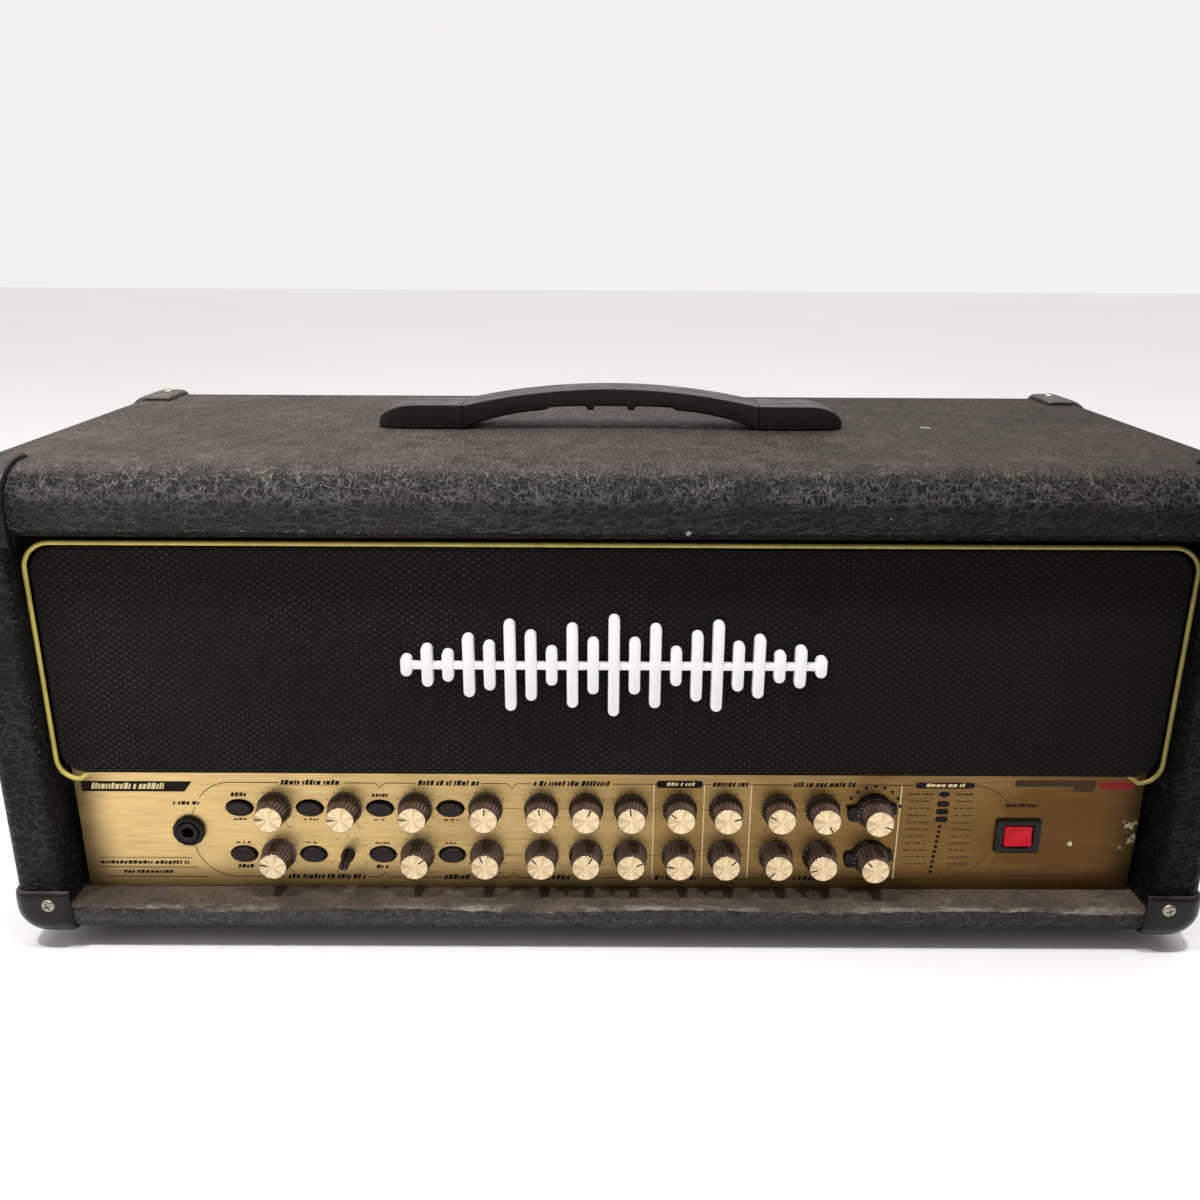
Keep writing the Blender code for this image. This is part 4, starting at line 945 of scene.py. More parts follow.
class Print:
    """Thin printed shapes on the panel, given by x and z in millimetres."""

    def __init__(self):
        self.mesh = bmesh.new()

    def shape(self, outline, look=0, lift=0.07):
        outline = [(x * MM, z * MM) for x, z in outline]
        prism_y(outline, FACE - lift * MM, FACE - 0.005 * MM, self.mesh, look)

    def block(self, x0, x1, z0, z1, radius, steps=4, look=0, lift=0.07):
        self.shape(rounded_rectangle((x0, z0), (x1, z1), radius, steps), look, lift)

    def bar(self, x0, x1, z, thick=0.45, look=0, lift=0.07):
        low, high = z - thick / 2, z + thick / 2
        self.shape([(x0, low), (x1, low), (x1, high), (x0, high)], look, lift)

    def line(self, points, thick=0.45, look=0):
        """A line of even thickness through points (x, z)."""
        points = [Vector(p) for p in points]
        left, right = [], []
        for i, point in enumerate(points):
            along = (points[min(i + 1, len(points) - 1)] - points[max(i - 1, 0)]).normalized()
            across = Vector((-along.y, along.x)) * thick / 2
            left.append(point + across)
            right.append(point - across)
        for i in range(len(points) - 1):
            quad = (left[i], right[i], right[i + 1], left[i + 1])
            self.shape([tuple(p) for p in quad], look)

    def label(self, x0, x1, z, tall=2.3, look=0, lift=0.07):
        """A slanted row of small blocks that stands where a word would be printed."""
        x, slant = x0, 0.30 * tall
        while x < x1 - 0.8:
            width = min(DICE.choice((1.1, 1.5, 1.9, 2.3)), x1 - x)
            grow = DICE.choice((0.0, 0.0, 0.22)) * tall
            low, high = z - tall / 2, z + tall / 2 + grow
            lean = slant * (high - low) / tall
            self.shape([(x, low), (x + width, low), (x + width + lean, high), (x + lean, high)], look, lift)
            x += width + DICE.choice((0.5, 0.5, 0.6, 1.6))

    def dots(self, places, radius, look=0):
        for x, z in places:
            self.shape(circle(radius, 14, (x, z)), look)

    def dial(self, x, z, inner=11.1, outer=12.5):
        """Eleven ticks from fully down to fully up, with a number at each end."""
        for i in range(11):
            turn = math.radians(-FULL_SWEEP + 30 * i)
            reach = outer + (0.5 if i in (0, 5, 10) else 0.0)
            ends = [(x + r * math.sin(turn), z + r * math.cos(turn)) for r in (inner, reach)]
            self.line(ends, 0.32)
        for sign in (-1, 1):
            turn = math.radians(sign * FULL_SWEEP)
            self.number("0" if sign < 0 else "10", x + 14.6 * math.sin(turn), z + 14.2 * math.cos(turn))

    def number(self, digits, x, z, size=2.2):
        """Plain digits, centred on a point."""
        curve = bpy.data.curves.new("digits", "FONT")
        curve.body = digits
        curve.size = size * MM
        curve.extrude = 0.025 * MM
        curve.resolution_u = 2
        curve.align_x, curve.align_y = "CENTER", "CENTER"
        text = bpy.data.objects.new("digits", curve)
        bpy.context.scene.collection.objects.link(text)
        bpy.context.view_layer.update()
        part = bmesh.new()
        evaluated = text.evaluated_get(bpy.context.evaluated_depsgraph_get())
        part.from_mesh(evaluated.to_mesh())
        evaluated.to_mesh_clear()
        bpy.data.objects.remove(text)
        bpy.data.curves.remove(curve)
        turn = Matrix.Rotation(math.pi / 2, 4, "X")
        moved(part, Matrix.Translation((x * MM, FACE - 0.035 * MM, z * MM)) @ turn)
        absorb(self.mesh, part, 0)


def notch(x, z, depth, width=3.2):
    """Points of a small point in a bracket line, at x, that reaches `depth` from z."""
    shape = ((-1, 0), (-0.45, 0.3), (0, 1), (0.45, 0.3), (1, 0))
    return [(x + a * width, z + b * depth) for a, b in shape]


def arc(centre, radius, start, end, steps=12, flat=1.0):
    """Points of an arc in degrees, anticlockwise from +X."""
    turns = [math.radians(start + (end - start) * i / steps) for i in range(steps + 1)]
    return [(centre[0] + radius * math.cos(t), centre[1] + flat * radius * math.sin(t)) for t in turns]


def make_tints():
    """The darker printed areas, which lie under the lines and marks."""
    tint = Print()
    top, low = UPPER + 16.5, LOWER - 15.2
    master = (COLUMNS[7] - 15.2, COLUMNS[7] + 13.9)
    effects = (COLUMNS[9] - 16.2, COLUMNS[11] + 15.2)
    for x0, x1 in (master, effects):
        tint.block(x0, x1, low, top, 0.8, 3, 0, 0.03)
    table = (effects[1] + 1.2, effects[1] + 44)
    curve = arc((table[1] - 12, (top + low) / 2), (top - low) / 2, 90, -90, 18)
    tint.shape([(table[0], top), (table[0], low)] + curve[::-1], 0, 0.03)
    for x in (*master, *effects):
        tint.bar(x - 0.35, x + 0.35, (top + low) / 2, top - low, 1, 0.045)
    make("panel_tints", tint.mesh, [BRONZE, PALE_LINE], sharp=20)


def make_print():
    """Brackets, ticks, pills and small blocks in place of the words."""
    ink = Print()
    high, low = UPPER + 16.3, LOWER - 15.3
    for name in KNOBS + [BARE_SHAFT]:
        if not name.endswith("_12"):
            ink.dial(*on_panel(pivot(name)))
    for name in BUTTONS:
        x, z = on_panel(button_place(name))
        side = -1 if "upper" in name else 1
        ink.label(x - 4.2, x + 4.2, z + side * 7.6, 1.0, 1)
    for row, side in ((UPPER, 1), (LOWER, -1)):
        for i in (0, 2):
            x, _ = on_panel(button_place(f"button_upper_{i + 1}"))
            ink.label(x - 4.6, x + 4.6, row + side * 8.4, 2.0)
    # the bracket that starts at the input jack and runs over the channel controls
    first = on_panel(button_place("button_upper_1"))[0] - 4.3
    notches = [COLUMNS[1] + 21, COLUMNS[3] + 15.6]
    gaps_high = ((0, 3.5, 1, 0.5), (2, 1, 3, -2), (4, -5.5, 6, -11), (8, -9.5, 8, 13.5), (9, 7, 10, 19))
    gaps_low = ((0, 3, 1, 11), (3, -27, 3, -9), (4, -3, 4, 18), (7, -15, 7, 12), (9, 10, 10, 9))
    for z, sign, gaps in ((high, -1, gaps_high), (low, 1, gaps_low)):
        gaps = [(COLUMNS[a] + before, COLUMNS[b] + after) for a, before, b, after in gaps]
        stops = [first, *(x for gap in gaps for x in gap), COLUMNS[11] + 22.6]
        for start, end in zip(stops[::2], stops[1::2]):
            points = [(start, z)]
            for x in notches:
                points += notch(x, z, sign * 3.4) if start < x < end else []
            ink.line(points + [(end, z)])
        for start, end in gaps:
            ink.label(start + 1, end - 1.4, z, 2.6)
    ink.line(arc((first, high - 22), 22, 90, 148))
    jack_x, jack_z = on_panel(JACK)
    ink.line([(jack_x + 2.1, jack_z + 10), (jack_x + 4.6, jack_z + 14.8)])
    ink.line(arc((first, low + 23), 24, 270, 188, flat=0.96))
    # thin joins between neighbouring controls, level with the rows
    for row in (UPPER, LOWER):
        for a, b in zip(COLUMNS[3:8], COLUMNS[4:9]):
            if b - a > 26:
                ink.bar(a + 12.6, b - 12.6, row, 0.28, 1)
        for a in COLUMNS[:4]:
            ink.bar(a + 10.6, a + 12.8, row, 0.28, 1)
    # model block at the upper left, and three rules at the lower left
    edge = PANEL_LOW.x / MM
    corners = ((4, -6), (63, -6), (68, 0.6), (4, 0.6))
    ink.shape([(edge + x, high + z) for x, z in corners])
    ink.label(edge + 9.5, edge + 51, high - 2.8, 3.2, 2, 0.11)
    for k, (start, end) in enumerate(((8, 62.2), (8, 65.5), (9.5, 71))):
        ink.bar(edge + start, edge + end, LOWER - 2.8 - 6.4 * k, 0.4)
    ink.label(edge + 8, edge + 61, LOWER - 6.1, 1.8)
    ink.label(edge + 21, edge + 50, LOWER - 12.4, 1.6)
    ink.label(jack_x - 8, jack_x + 7, jack_z + 17.5, 1.8)
    # pill over the master column, and one over the effects table
    table = COLUMNS[11] + 40
    ink.block(COLUMNS[7] - 14, COLUMNS[7] + 13, high - 2.3, high + 2.3, 2.2, 6, 0, 0.08)
    ink.block(table - 17, table + 17, high - 1.9, high + 1.9, 1.8, 6, 0, 0.08)
    for middle, reach in ((COLUMNS[7], 8), (table, 11)):
        ink.label(middle - reach, middle + reach, high, 1.7, 2, 0.11)
    ink.shape(circle(3.3, 20, (table, UPPER + 10.6), 0.55))
    for k in range(3):
        z = UPPER + 4.4 - 5.0 * k
        ink.block(table - 3.7, table + 3.7, z - 1.9, z + 1.9, 1.8, 5)
    ink.dots([(table - 0.5 - 0.28 * k, UPPER - 10.4 - 3.35 * k) for k in range(10)], 1.15)
    for k in range(11):
        for x0, x1 in ((-20, -6.5), (6.5, 18)):
            ink.label(table + x0, table + x1, UPPER + 10.6 - 4.6 * k, 0.9, min(k, 1))
    # the swoosh round the power switch, and the marks beyond it
    swing = 26
    ink.line(arc((table + 16, high - swing), swing, 90, 22), 0.4, 1)
    ink.line(arc((table + 2, low + 30), 30, 275, 340), 0.4, 1)
    ink.line([(table + 2, low), (COLUMNS[11] + 20, low)], 0.4, 1)
    switch_x, switch_z = on_panel(ROCKER)
    ink.label(switch_x - 9, switch_x + 9, switch_z + 19.5, 2.0)
    right = PANEL_HIGH.x / MM
    ink.block(right - 75, right - 28, high - 0.6, high + 3.6, 1.4, look=1)
    ink.block(right - 41, right - 29, high - 3.6, high - 0.5, 1.0, look=1)
    ink.block(right - 26, right - 6.5, high - 2.4, high + 2.6, 1.0, look=3)
    ink.label(right - 76, right - 20, low + 2.6, 1.0, 1)
    # dots round the effect selector, and ticks round the one below it
    x = COLUMNS[11]
    ring = [math.radians(-80 + 20 * i) for i in range(9)]
    ink.dots([(x + 15.6 * math.sin(t), UPPER + 15.6 * math.cos(t)) for t in ring], 1.05)
    for i in range(9):
        turn = math.radians(-100 + 25 * i)
        ink.line([(x + r * math.sin(turn), LOWER + r * math.cos(turn)) for r in (14.4, 15.6)], 0.3, 1)
    make("panel_print", ink.mesh, [INK, BROWN_INK, PALE_LINE, RED_INK], sharp=20)


def knob_body(lift, base, tip, length, flutes=24):
    """A fluted skirt that tapers to a plain collar, with a seat for the cap. In millimetres."""
    near, face = -0.3 - lift, -length
    rings = [(base - 1.2, near, 0), (base - 0.15, near, 0), (base, near - 0.25, 0), (base, near - 1.1, 0)]
    for k in range(6):
        taper = 0 if k == 0 else tip - base + 0.15
        rings.append((base - 0.25 + taper * k / 5, near - 1.5 - (near - face - 2.9) * k / 5, 0.75))
    rings += [(tip - 0.05, face + 1.15, 0), (tip - 0.1, face + 0.55, 0), (tip - 0.9, face + 0.5, 0)]
    turns = [2 * math.pi * i / (6 * flutes) for i in range(6 * flutes)]
    sections = []
    for radius, y, cut in rings:
        reach = [radius - cut * (0.5 - 0.5 * math.cos(flutes * turn)) ** 0.8 for turn in turns]
        sections.append(mm([(r * math.sin(t), y, r * math.cos(t)) for r, t in zip(reach, turns)]))
    return lofted(sections)


def knob_cap(tip, length, angle):
    """A spun disc with a rolled rim and a short dark pointer line let into it."""
    face = -length
    mesh = turned(
        [(tip - 0.35, face + 0.75), (tip - 0.3, face + 0.3), (tip - 0.42, face + 0.08), (tip - 0.75, face),
         (tip - 1.3, face + 0.06), (0.62 * tip, face + 0.02), (0.3 * tip, face - 0.03),
         (0.04 * tip, face - 0.05)], 64)
    line = box(*mm([(-0.42, face - 0.07, 0.42 * tip), (0.42, face + 0.4, 0.93 * tip)]), soft=0.06 * MM)
    return absorb(mesh, moved(line, Matrix.Rotation(math.radians(angle), 4, "Y")), 1)


def make_knobs():
    """Each knob turns about its own axis. Its pointer stands where its joint's range says."""
    base, tip = 10.05, 8.15
    for name in KNOBS:
        low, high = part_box(name)
        length, rear = (FACE - low.y) / MM, (high.y - FACE) / MM
        lift, shaft, near, count = (3, 1.6, -3.2, 16) if name.endswith("_12") else (0, 3, -0.2, 20)
        angle = -FULL_SWEEP - JOINTS[name]["range_deg"][0]
        body = knob_body(lift, base, tip, length)
        absorb(body, turned([(shaft, rear), (shaft, near)], count), 1)
        make(name + "_skirt", body, [KNOB, ZINC], name, pivot(name), [name], 34)
        cap = knob_cap(tip, length, angle)
        make(name + "_cap", cap, [CAP_METAL, INK], name, pivot(name), sharp=50)


def make_bare_shaft():
    """The shaft whose knob is missing: slotted, with a threaded bushing behind it."""
    at = pivot(BARE_SHAFT)
    low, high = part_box(BARE_SHAFT)
    tip, rear = (low.y - FACE) / MM, (high.y - FACE) / MM
    shaft = turned([(3, rear), (3, -6.5), (2.85, -6.6), (2.85, tip + 0.5), (2.45, tip)], 28)
    slot = box(*mm([(-0.4, tip - 1, -4), (0.4, tip + 8, 4)]))
    make("bare_shaft", carved(shaft, [slot]), [BUTTON], BARE_SHAFT, at, [BARE_SHAFT])
    thread = [(3.15, 0.4)]
    for k in range(7):
        thread += [(3.85, 0.2 - 0.62 * k), (3.6, -0.11 - 0.62 * k)]
    bush = turned(thread + [(3.3, -4.6), (3.12, -4.6)], 28, closed=True)
    make("shaft_bushing", bush, [BUTTON], at=at)


def ring_reach(turn):
    """The ring's reach in millimetres: round, with a grip tab to the left and a nub to the right."""
    reach = 11.0
    for middle, width, extra in ((188, 30, 4.4), (8, 24, 2.5)):
        away = abs((math.degrees(turn) - middle + 180) % 360 - 180)
        if away < width:
            slope = max(0.0, away - 0.45 * width) / (0.55 * width)
            reach += extra * (0.5 + 0.5 * math.cos(math.pi * slope))
    return reach


def make_rings():
    """Selector rings behind the two last knobs, open in the middle for their shafts."""
    count = 96
    turns = [2 * math.pi * i / count for i in range(count)]
    for name in RINGS:
        low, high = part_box(name)
        thick, rear = (FACE - low.y) / MM, (high.y - FACE) / MM
        outside = ((-0.7, -0.3), (0, -0.5), (0, -0.6 * thick), (-0.25, -0.85 * thick), (-0.9, -thick))
        inside = ((2.1, -thick), (2.1, rear), (2.9, rear), (2.9, -0.3))
        rings = [[(ring_reach(t) + inset, y, t) for t in turns] for inset, y in outside]
        rings += [[(radius, y, t) for t in turns] for radius, y in inside]
        sections = [mm([(r * math.cos(t), y, r * math.sin(t)) for r, y, t in ring]) for ring in rings]
        mesh = lofted(sections, closed=True)
        make(name + "_grip", mesh, [BLACK], name, pivot(name), [name])


def make_buttons():
    """Oval push caps with a soft rim and a slightly dished face."""
    for name in BUTTONS:
        low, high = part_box(name)
        proud, rear, wide = (low.y - FACE) / MM, (high.y - FACE) / MM, (high.x - low.x) / 2 / MM + 0.1
        cap = turned(
            [(1.8, rear), (1.8, 7.5), (wide, 7.5), (wide, proud + 1), (wide - 0.15, proud + 0.55),
             (wide - 0.5, proud + 0.2), (wide - 1.1, proud), (wide - 1.7, proud + 0.03),
             (0.6 * wide, proud + 0.28), (0.3 * wide, proud + 0.4), (0.05 * wide, proud + 0.43)],
            48, flat=(high.z - low.z) / (high.x - low.x))
        make(name + "_cap", cap, [BUTTON], name, button_place(name), [name], 50)


def jack_mesh(nut, bezel, wall, inside):
    """A socket: faceted nut, round collar, dark bore with a sprung contact. In millimetres."""
    bore, collar = 3.35, nut - 3.3
    body = ((bore, inside), (bore, 0.5 - bezel), (bore + 0.4, -bezel), (collar - 0.3, -bezel),
            (collar, 0.5 - bezel), (collar, -0.4), (4.75, -0.35), (4.75, wall + 0.3), (7.8, wall + 0.3),
            (7.8, inside))
    ring = ((collar + 0.1, -0.35), (collar + 0.1, 1.3 - bezel), (nut - 2, 0.6 - bezel),
            (nut - 0.7, 0.9 - bezel), (nut, -0.6 * bezel), (nut, -0.35))
    contact = ((2.9, inside - 4), (2.9, inside - 6), (3.3, inside - 6), (3.3, inside - 4))
    mesh = turned(body, 40, closed=True)
    for profile, count, look in ((ring, 12, 0), (contact, 24, 1)):
        absorb(mesh, turned(profile, count, closed=True), look)
    return mesh


def make_jacks():
    """The input socket in front, and the two speaker sockets that face the rear."""
    for node, name, face, wall, turn in (
        ("input_jack", "input_socket", FACE, 2.0, 0.0),
        ("speaker_jack_1", "speaker_jack_1_socket", CHASSIS_HIGH.y, 1.5, math.pi),
        ("speaker_jack_2", "speaker_jack_2_socket", CHASSIS_HIGH.y, 1.5, math.pi),
    ):
        low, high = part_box(node)
        centre = (low + high) / 2
        bezel, inside = sorted(((face - low.y) / MM, (high.y - face) / MM))
        mesh = jack_mesh((high.x - low.x) / 2 / MM, bezel, wall, inside)
        moved(mesh, Matrix.Rotation(turn, 4, "Z"))
        at = (centre.x, face, centre.z)
        make(name, mesh, [BLACK, NICKEL], at=at, stands_for=[node], sharp=28)


def make_rocker():
    """A black frame with a sloping inner wall, and the red rocker that tips in it."""
    wide, _, tall = (BEZEL_HIGH - BEZEL_LOW) / 2 / MM
    proud, back = (BEZEL_LOW.y - FACE) / MM, (BEZEL_HIGH.y - FACE) / MM
    rims = (
        (12, 9.4, 0.8, back), (12, 9.4, 0.8, -0.05), (wide, tall, 1.9, -0.05),
        (wide, tall, 1.9, proud + 0.9), (wide - 0.25, tall - 0.25, 1.7, proud + 0.35),
        (wide - 1, tall - 1, 1.3, proud), (9.6, 7.9, 1.2, proud), (8.9, 7.4, 0.9, proud + 0.5),
        (8.4, 7, 0.6, -0.2), (8.4, 7, 0.6, 12),
    )
    mesh = lofted([mm(slab((-x, -z), (x, z), radius, 5, y)) for x, z, radius, y in rims])
    make("switch_frame", mesh, [GLOSS_BLACK], at=(ROCKER.x, FACE, ROCKER.z),
         stands_for=["rocker_housing"])
    reach, half = 6.15, 7.95
    outline = [(-4.75 + 0.8 * (1 - (1 - i / 6) ** 2), reach * (1 - i / 6)) for i in range(13)]
    outline += [(3.0, -5.2), (5.2, 0.0), (3.0, 5.2)]
    tilt = Matrix.Rotation(math.radians(8), 4, "X").inverted()
    mesh = moved(lofted([mm([(x, y, z) for y, z in outline]) for x in (-half, half)]), tilt)
    made = make("rocker_lens", mesh, [RED], "power_rocker", tuple(ROCKER), ["power_rocker"], 30)
    soft = made.modifiers.new("edge", "BEVEL")
    soft.width = 0.45 * MM
    soft.segments = 3
    soft.limit_method = "ANGLE"
    soft.angle_limit = math.radians(40)


# ---- handle -------------------------------------------------------------------------
CAP_LOW, CAP_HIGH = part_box("handle_cap_right")
STRAP_END = CAP_LOW.x - 0.3 * MM
HANDLE_DEPTH = (CAP_HIGH.y - CAP_LOW.y) / 2
CAP_TALL = CAP_HIGH.z - TOP
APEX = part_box("handle_strap")[1].z - TOP
UNDER = 12.2 * MM


def handle_section(x, low, high, half, soft, groove=0.0):
    """One cross-section: rounded shoulders, an optional sunk top and a beaded lower edge."""
    lower = 1.3 * MM
    turns = [math.pi / 2 * i / 5 for i in range(6)]
    side = [(half - lower + lower * math.sin(t), low + lower - lower * math.cos(t)) for t in turns]
    side += [(half - soft + soft * math.cos(t), high - soft + soft * math.sin(t)) for t in turns]
    side += [(half - soft - 1.6 * MM, high), (half - soft - 2.3 * MM, high - groove)]
    return [(x, u, v) for u, v in side] + [(x, -u, v) for u, v in side[::-1]]


def clamp(value):
    return max(0.0, min(1.0, value))


def make_strap():
    """The arched grip: sunk along the top, with finger grooves under the middle."""
    stations = 240
    sections = []
    for i in range(stations + 1):
        u = -1 + 2 * i / stations
        x, away = u * STRAP_END, abs(u * STRAP_END) / MM
        over = APEX - (APEX - CAP_TALL) * u * u
        half = HANDLE_DEPTH - 3.0 * MM * math.cos(math.pi / 2 * u)
        scallop = (1.5 * clamp((40 - away) / 3) - 2.5 * clamp((2.6 - abs(away - 12.5)) / 0.6)) * MM
        sunk = 0.8 * MM * clamp(8 - abs(away - 38))
        low = TOP + 0.3 * MM + UNDER * (1 - abs(u) ** 3.2) + scallop
        sections.append(handle_section(x, low, TOP + over, half, 1.4 * MM, sunk))
    mesh = lofted(sections)
    make("handle_grip", mesh, [GREY_GRIP], stands_for=["handle_strap"], sharp=40)


def make_handle_caps():
    """The caps that hold the strap down: square inside, round and sloping outside."""
    nose, tip, lip = 24 * MM, 3.2 * MM, 0.45 * MM
    straight = CAP_HIGH.x - CAP_LOW.x - nose
    turns = [math.pi / 2 * k / 12 * 0.97 for k in range(1, 13)]
    places = [(0.0, 0.0), (0.35 * MM, 0.0)] + [(straight * k / 4, 0.0) for k in range(1, 5)]
    places += [(straight + nose * math.sin(turn), turn) for turn in turns]
    for name, side in (("left", -1), ("right", 1)):
        sections = []
        for far, turn in places:
            shrink = math.cos(turn)
            inset = 0.0 if far else lip
            high = tip + (CAP_TALL - tip) * shrink**1.15
            half = HANDLE_DEPTH * (0.30 + 0.70 * shrink**0.8) - inset
            x, soft = side * (CAP_LOW.x + far), min(0.9 * MM, 0.3 * high)
            sections.append(handle_section(x, TOP + 0.2 * MM, TOP + high - inset, half, soft))
        make(f"handle_end_{name}", lofted(sections), [GREY_GRIP],
             stands_for=[f"handle_cap_{name}"], sharp=36)


# ---- rear ---------------------------------------------------------------------------
def make_rear_board():
    """The recessed board with its vent slots, screwed on round its edge."""
    low, high = REAR_LOW, REAR_HIGH
    slots = bmesh.new()
    count, pitch, half = 22, 16.5 * MM, 3.75 * MM
    for i in range(count):
        x = (i - (count - 1) / 2) * pitch
        corners = ((x - half, BASE + 135 * MM), (x + half, BASE + 218 * MM))
        prism_y(rounded_rectangle(*corners, half - 0.1 * MM, 6), low.y - 2 * MM, high.y + 2 * MM, slots)
    board = carved(box(low, high, soft=1.0 * MM, steps=3), [slots])
    make("rear_board", board, [VINYL], stands_for=["rear_panel"])
    inset = 9 * MM
    rows = (low.z + inset, high.z - inset)
    places = [(i / 2 * (high.x - inset), z) for i in range(-2, 3) for z in rows]
    rear_screws("rear_board_screws", places, high.y + 0.1 * MM, 0.85)


def rear_screws(name, places, y, scale):
    """A group of screws that face the rear, at places (x, z)."""
    screws = bmesh.new()
    for x, z in places:
        screw(screws, (x, y, z), (0, 1, 0), scale)
    make(name, screws, [NICKEL])


def make_chassis_details():
    """What is screwed to the rear wall of the chassis, and a blank rating plate."""
    y, inset = CHASSIS_HIGH.y, 7 * MM
    rows = (CHASSIS_LOW.z + inset, CHASSIS_HIGH.z - inset)
    rear_screws("chassis_screws", [(0.145 * i, z) for i in range(-2, 3) for z in rows], y + 0.1 * MM, 0.75)
    low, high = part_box("mains_inlet")
    x, z = (low.x + high.x) / 2, (low.z + high.z) / 2
    rear_screws("inlet_screws", [(x + side * 19.6 * MM, z) for side in (-1, 1)], high.y + 0.05 * MM, 0.62)
    fuse = turned([(7.5, 0.2), (7.5, 2.2), (6, 2.6), (6, 9), (5.2, 9.8)], 32)
    groove = box(*mm([(-5, 9.2, -0.5), (5, 11, 0.5)]))
    make("fuse_holder", carved(fuse, [groove]), [BLACK], at=(x - 52 * MM, y, z))
    plate = box((-0.015, y + 0.1 * MM, z - 16 * MM), (0.085, y + 0.6 * MM, z + 16 * MM), soft=0.2 * MM)
    make("rating_plate", plate, [ALUMINIUM])
    nuts = bmesh.new()
    for place in (-0.225, -0.195, -0.150, -0.120):
        collar = turned([(3.4, 0.1), (6.2, 0.1), (6.2, 2.6), (5.4, 3.2), (3.4, 3.2)], 24, closed=True)
        plug = turned([(3.3, 0.1), (3.3, 0.8)], 24)
        for look, part in enumerate((collar, plug)):
            absorb(nuts, moved(part, Matrix.Translation((place, y, z))), look)
    make("rear_socket_nuts", nuts, [BLACK, INK])


# ---- inside -------------------------------------------------------------------------
def make_inside():
    """Better finishes for the parts inside, and the components that fill the board."""
    for node, look in (
        ("chassis", ZINC), ("control_board", BOARD), ("main_board", BOARD),
        ("power_transformer", LAMINATION), ("heat_sink", ALUMINIUM), ("valve_socket", CERAMIC),
        ("preamp_valve", GLASS), ("mains_inlet", BLACK),
    ):
        materials = frame["nodes"][node].data.materials
        materials.clear()
        materials.append(look)
    low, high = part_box("main_board")
    floor = high.z
    parts = bmesh.new()
    for k in range(4):
        at = (low.x + 0.26 + 0.055 * k, low.y + 0.030, floor)
        can = turned([(12, 0.3), (12, 38), (11.2, 39)], 28, "Z")
        absorb(parts, moved(can, Matrix.Translation(at)), 0)
    for k in range(24):
        x = low.x + 0.15 + DICE.uniform(0.0, 0.2)
        y = low.y + 0.055 + DICE.uniform(0.0, 0.07)
        size = DICE.choice((3, 4, 5)) * MM
        top = (x + 2 * size, y + size, floor + size * 1.6)
        box((x, y, floor + 0.1 * MM), top, parts, DICE.choice((0, 1, 2)), 0.4 * MM)
    make("board_parts", parts, [BLACK, TAPE, CERAMIC])
    low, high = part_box("power_transformer")
    centre = (low + high) / 2
    reach = Vector((31 * MM, (high.y - low.y) / 2 + 0.6 * MM, 27 * MM))
    coil = box(centre - reach, centre + reach, soft=4 * MM, steps=4)
    make("transformer_winding", coil, [TAPE])
    wires = bmesh.new()
    for k in range(6):
        start = Vector((centre.x - 40 * MM, centre.y - 10 * MM + 3 * MM * k, high.z + 1 * MM))
        end = Vector((0.078, 0.01 + 0.004 * k, floor + 4 * MM))
        middle = (start + end) / 2 + Vector((0, DICE.uniform(-4, 4) * MM, 10 * MM))
        route = [start, start + Vector((-8 * MM, 0, 6 * MM)), middle, end + Vector((0, 0, 14 * MM)), end]
        tube(smooth_path(route), 1.0 * MM, 8, mesh=wires, look=k % 2)
    make("wiring", wires, [WIRE_RED, WIRE_GREY])


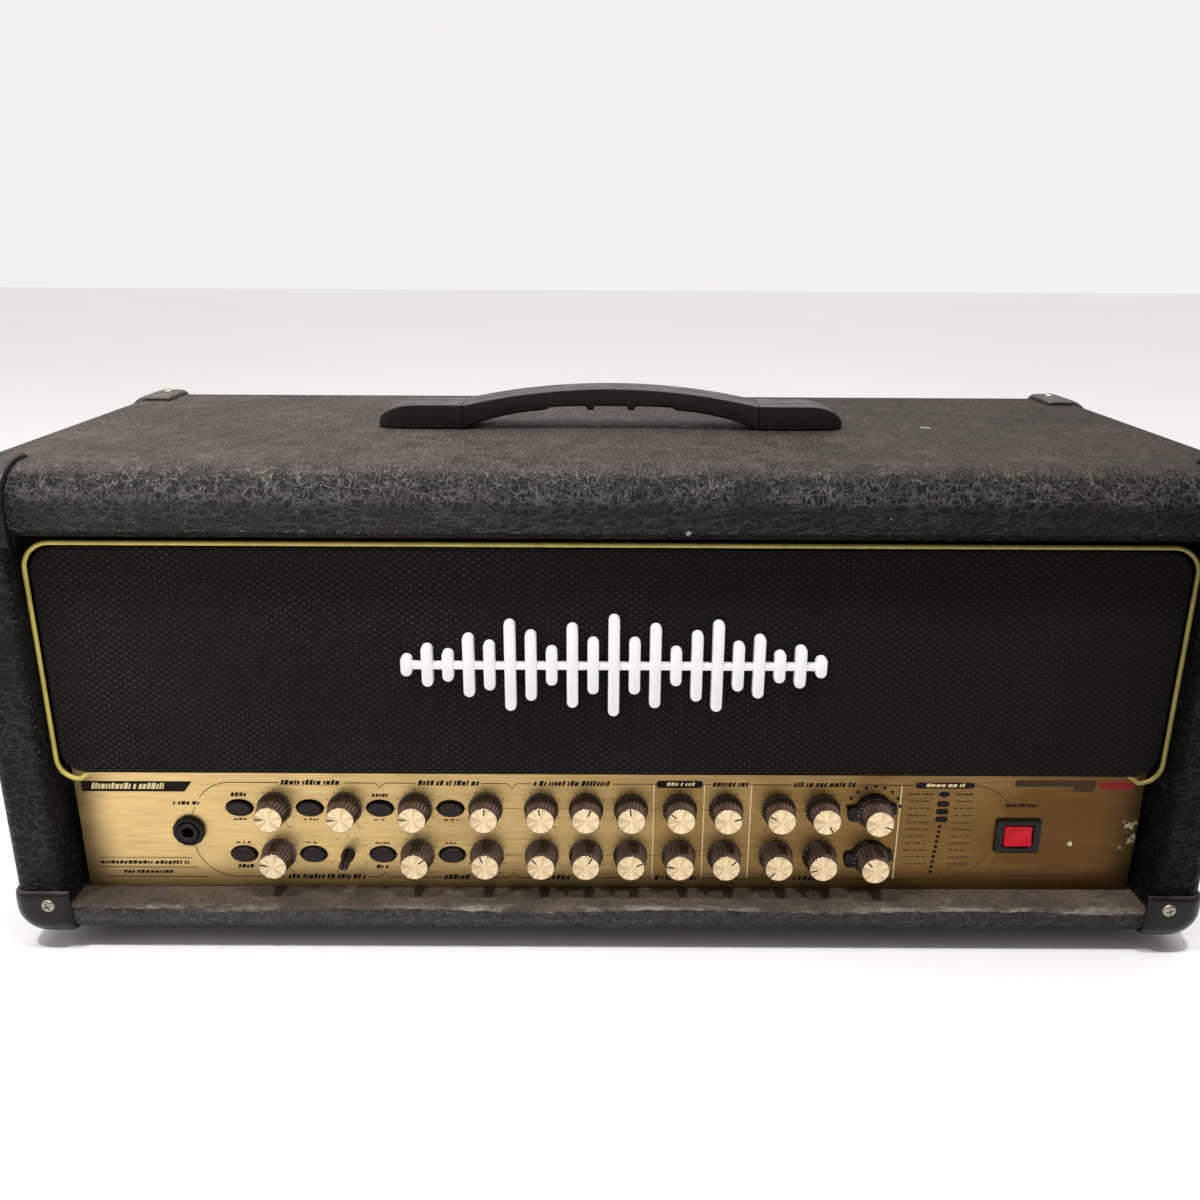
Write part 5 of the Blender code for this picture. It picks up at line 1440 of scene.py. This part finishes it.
# ---- camera, light and floor --------------------------------------------------------
def make_stage():
    """A wide pale floor, a pale room, and soft lamps."""
    half = 8.0
    corners = ((-half, -half), (half, -half), (half, half), (-half, half))
    data = bpy.data.meshes.new("floor")
    data.from_pydata([(x, y, -0.0002) for x, y in corners], [], [(0, 1, 2, 3)])
    data.materials.append(floor_material())
    floor = bpy.data.objects.new("floor", data)
    bpy.context.scene.collection.objects.link(floor)

    world = bpy.data.worlds.new("soft_room")
    world.use_nodes = True
    tree = world.node_tree
    room, backdrop = tree.nodes["Background"], tree.nodes.new("ShaderNodeBackground")
    room.inputs["Color"].default_value = (1.0, 0.97, 0.94, 1.0)
    room.inputs["Strength"].default_value = 0.30
    backdrop.inputs["Color"].default_value = (0.90, 0.89, 0.88, 1.0)
    either, path = tree.nodes.new("ShaderNodeMixShader"), tree.nodes.new("ShaderNodeLightPath")
    for i, source in enumerate((path.outputs["Is Camera Ray"], room.outputs[0], backdrop.outputs[0])):
        tree.links.new(source, either.inputs[i])
    tree.links.new(either.outputs[0], tree.nodes["World Output"].inputs[0])
    bpy.context.scene.world = world
    bpy.context.scene.view_settings.view_transform = "Standard"

    for name, at, aim, size, power in (
        ("lamp_right", (0.28, -0.45, 1.65), (0.1, -0.05, 0.15), 0.12, 13),
        ("lamp_left", (-0.60, -0.50, 1.65), (-0.1, -0.05, 0.15), 0.12, 14),
        ("side", (-1.9, -0.5, 0.9), (0.0, 0.0, 0.15), 0.9, 8),
    ):
        lamp = bpy.data.lights.new(name, "AREA")
        lamp.size = size
        lamp.energy = power
        hang(lamp, at, aim)
    ceiling = bpy.data.lights.new("ceiling", "SUN")
    ceiling.angle = math.radians(70)
    ceiling.energy = 2.2
    hang(ceiling, (0.0, 0.9, 2.2), (0.0, 0.0, 0.0))


def hang(lamp, at, aim):
    obj = bpy.data.objects.new(lamp.name, lamp)
    obj.location = at
    obj.rotation_euler = (Vector(aim) - Vector(at)).to_track_quat("-Z", "Y").to_euler()
    bpy.context.scene.collection.objects.link(obj)


def make_camera():
    """A hand-held view from just above the top, close to the middle."""
    camera = bpy.data.cameras.new("camera")
    camera.sensor_width = 36
    camera.lens = 32.85
    camera.clip_start = 0.05
    obj = bpy.data.objects.new("camera", camera)
    yaw, pitch, roll = 0.0020, 0.3212, 0.0054
    aim = Matrix.Translation((-0.0073, FRONT - 0.5421, BASE + 0.3845))
    for angle, axis in ((-yaw, "Z"), (math.pi / 2 - pitch, "X"), (roll, "Z")):
        aim = aim @ Matrix.Rotation(angle, 4, axis)
    obj.matrix_world = aim
    bpy.context.scene.collection.objects.link(obj)
    bpy.context.scene.camera = obj


def main():
    make_camera()
    make_stage()
    for step in (
        make_covering, make_ledge_strip, make_protectors, make_feet, make_cloth, make_piping,
        make_emblem, make_panel, make_tints, make_print, make_knobs, make_bare_shaft, make_rings,
        make_buttons, make_jacks, make_rocker, make_strap, make_handle_caps, make_rear_board,
        make_chassis_details, make_inside,
    ):
        step()


main()
bpy.context.view_layer.update()
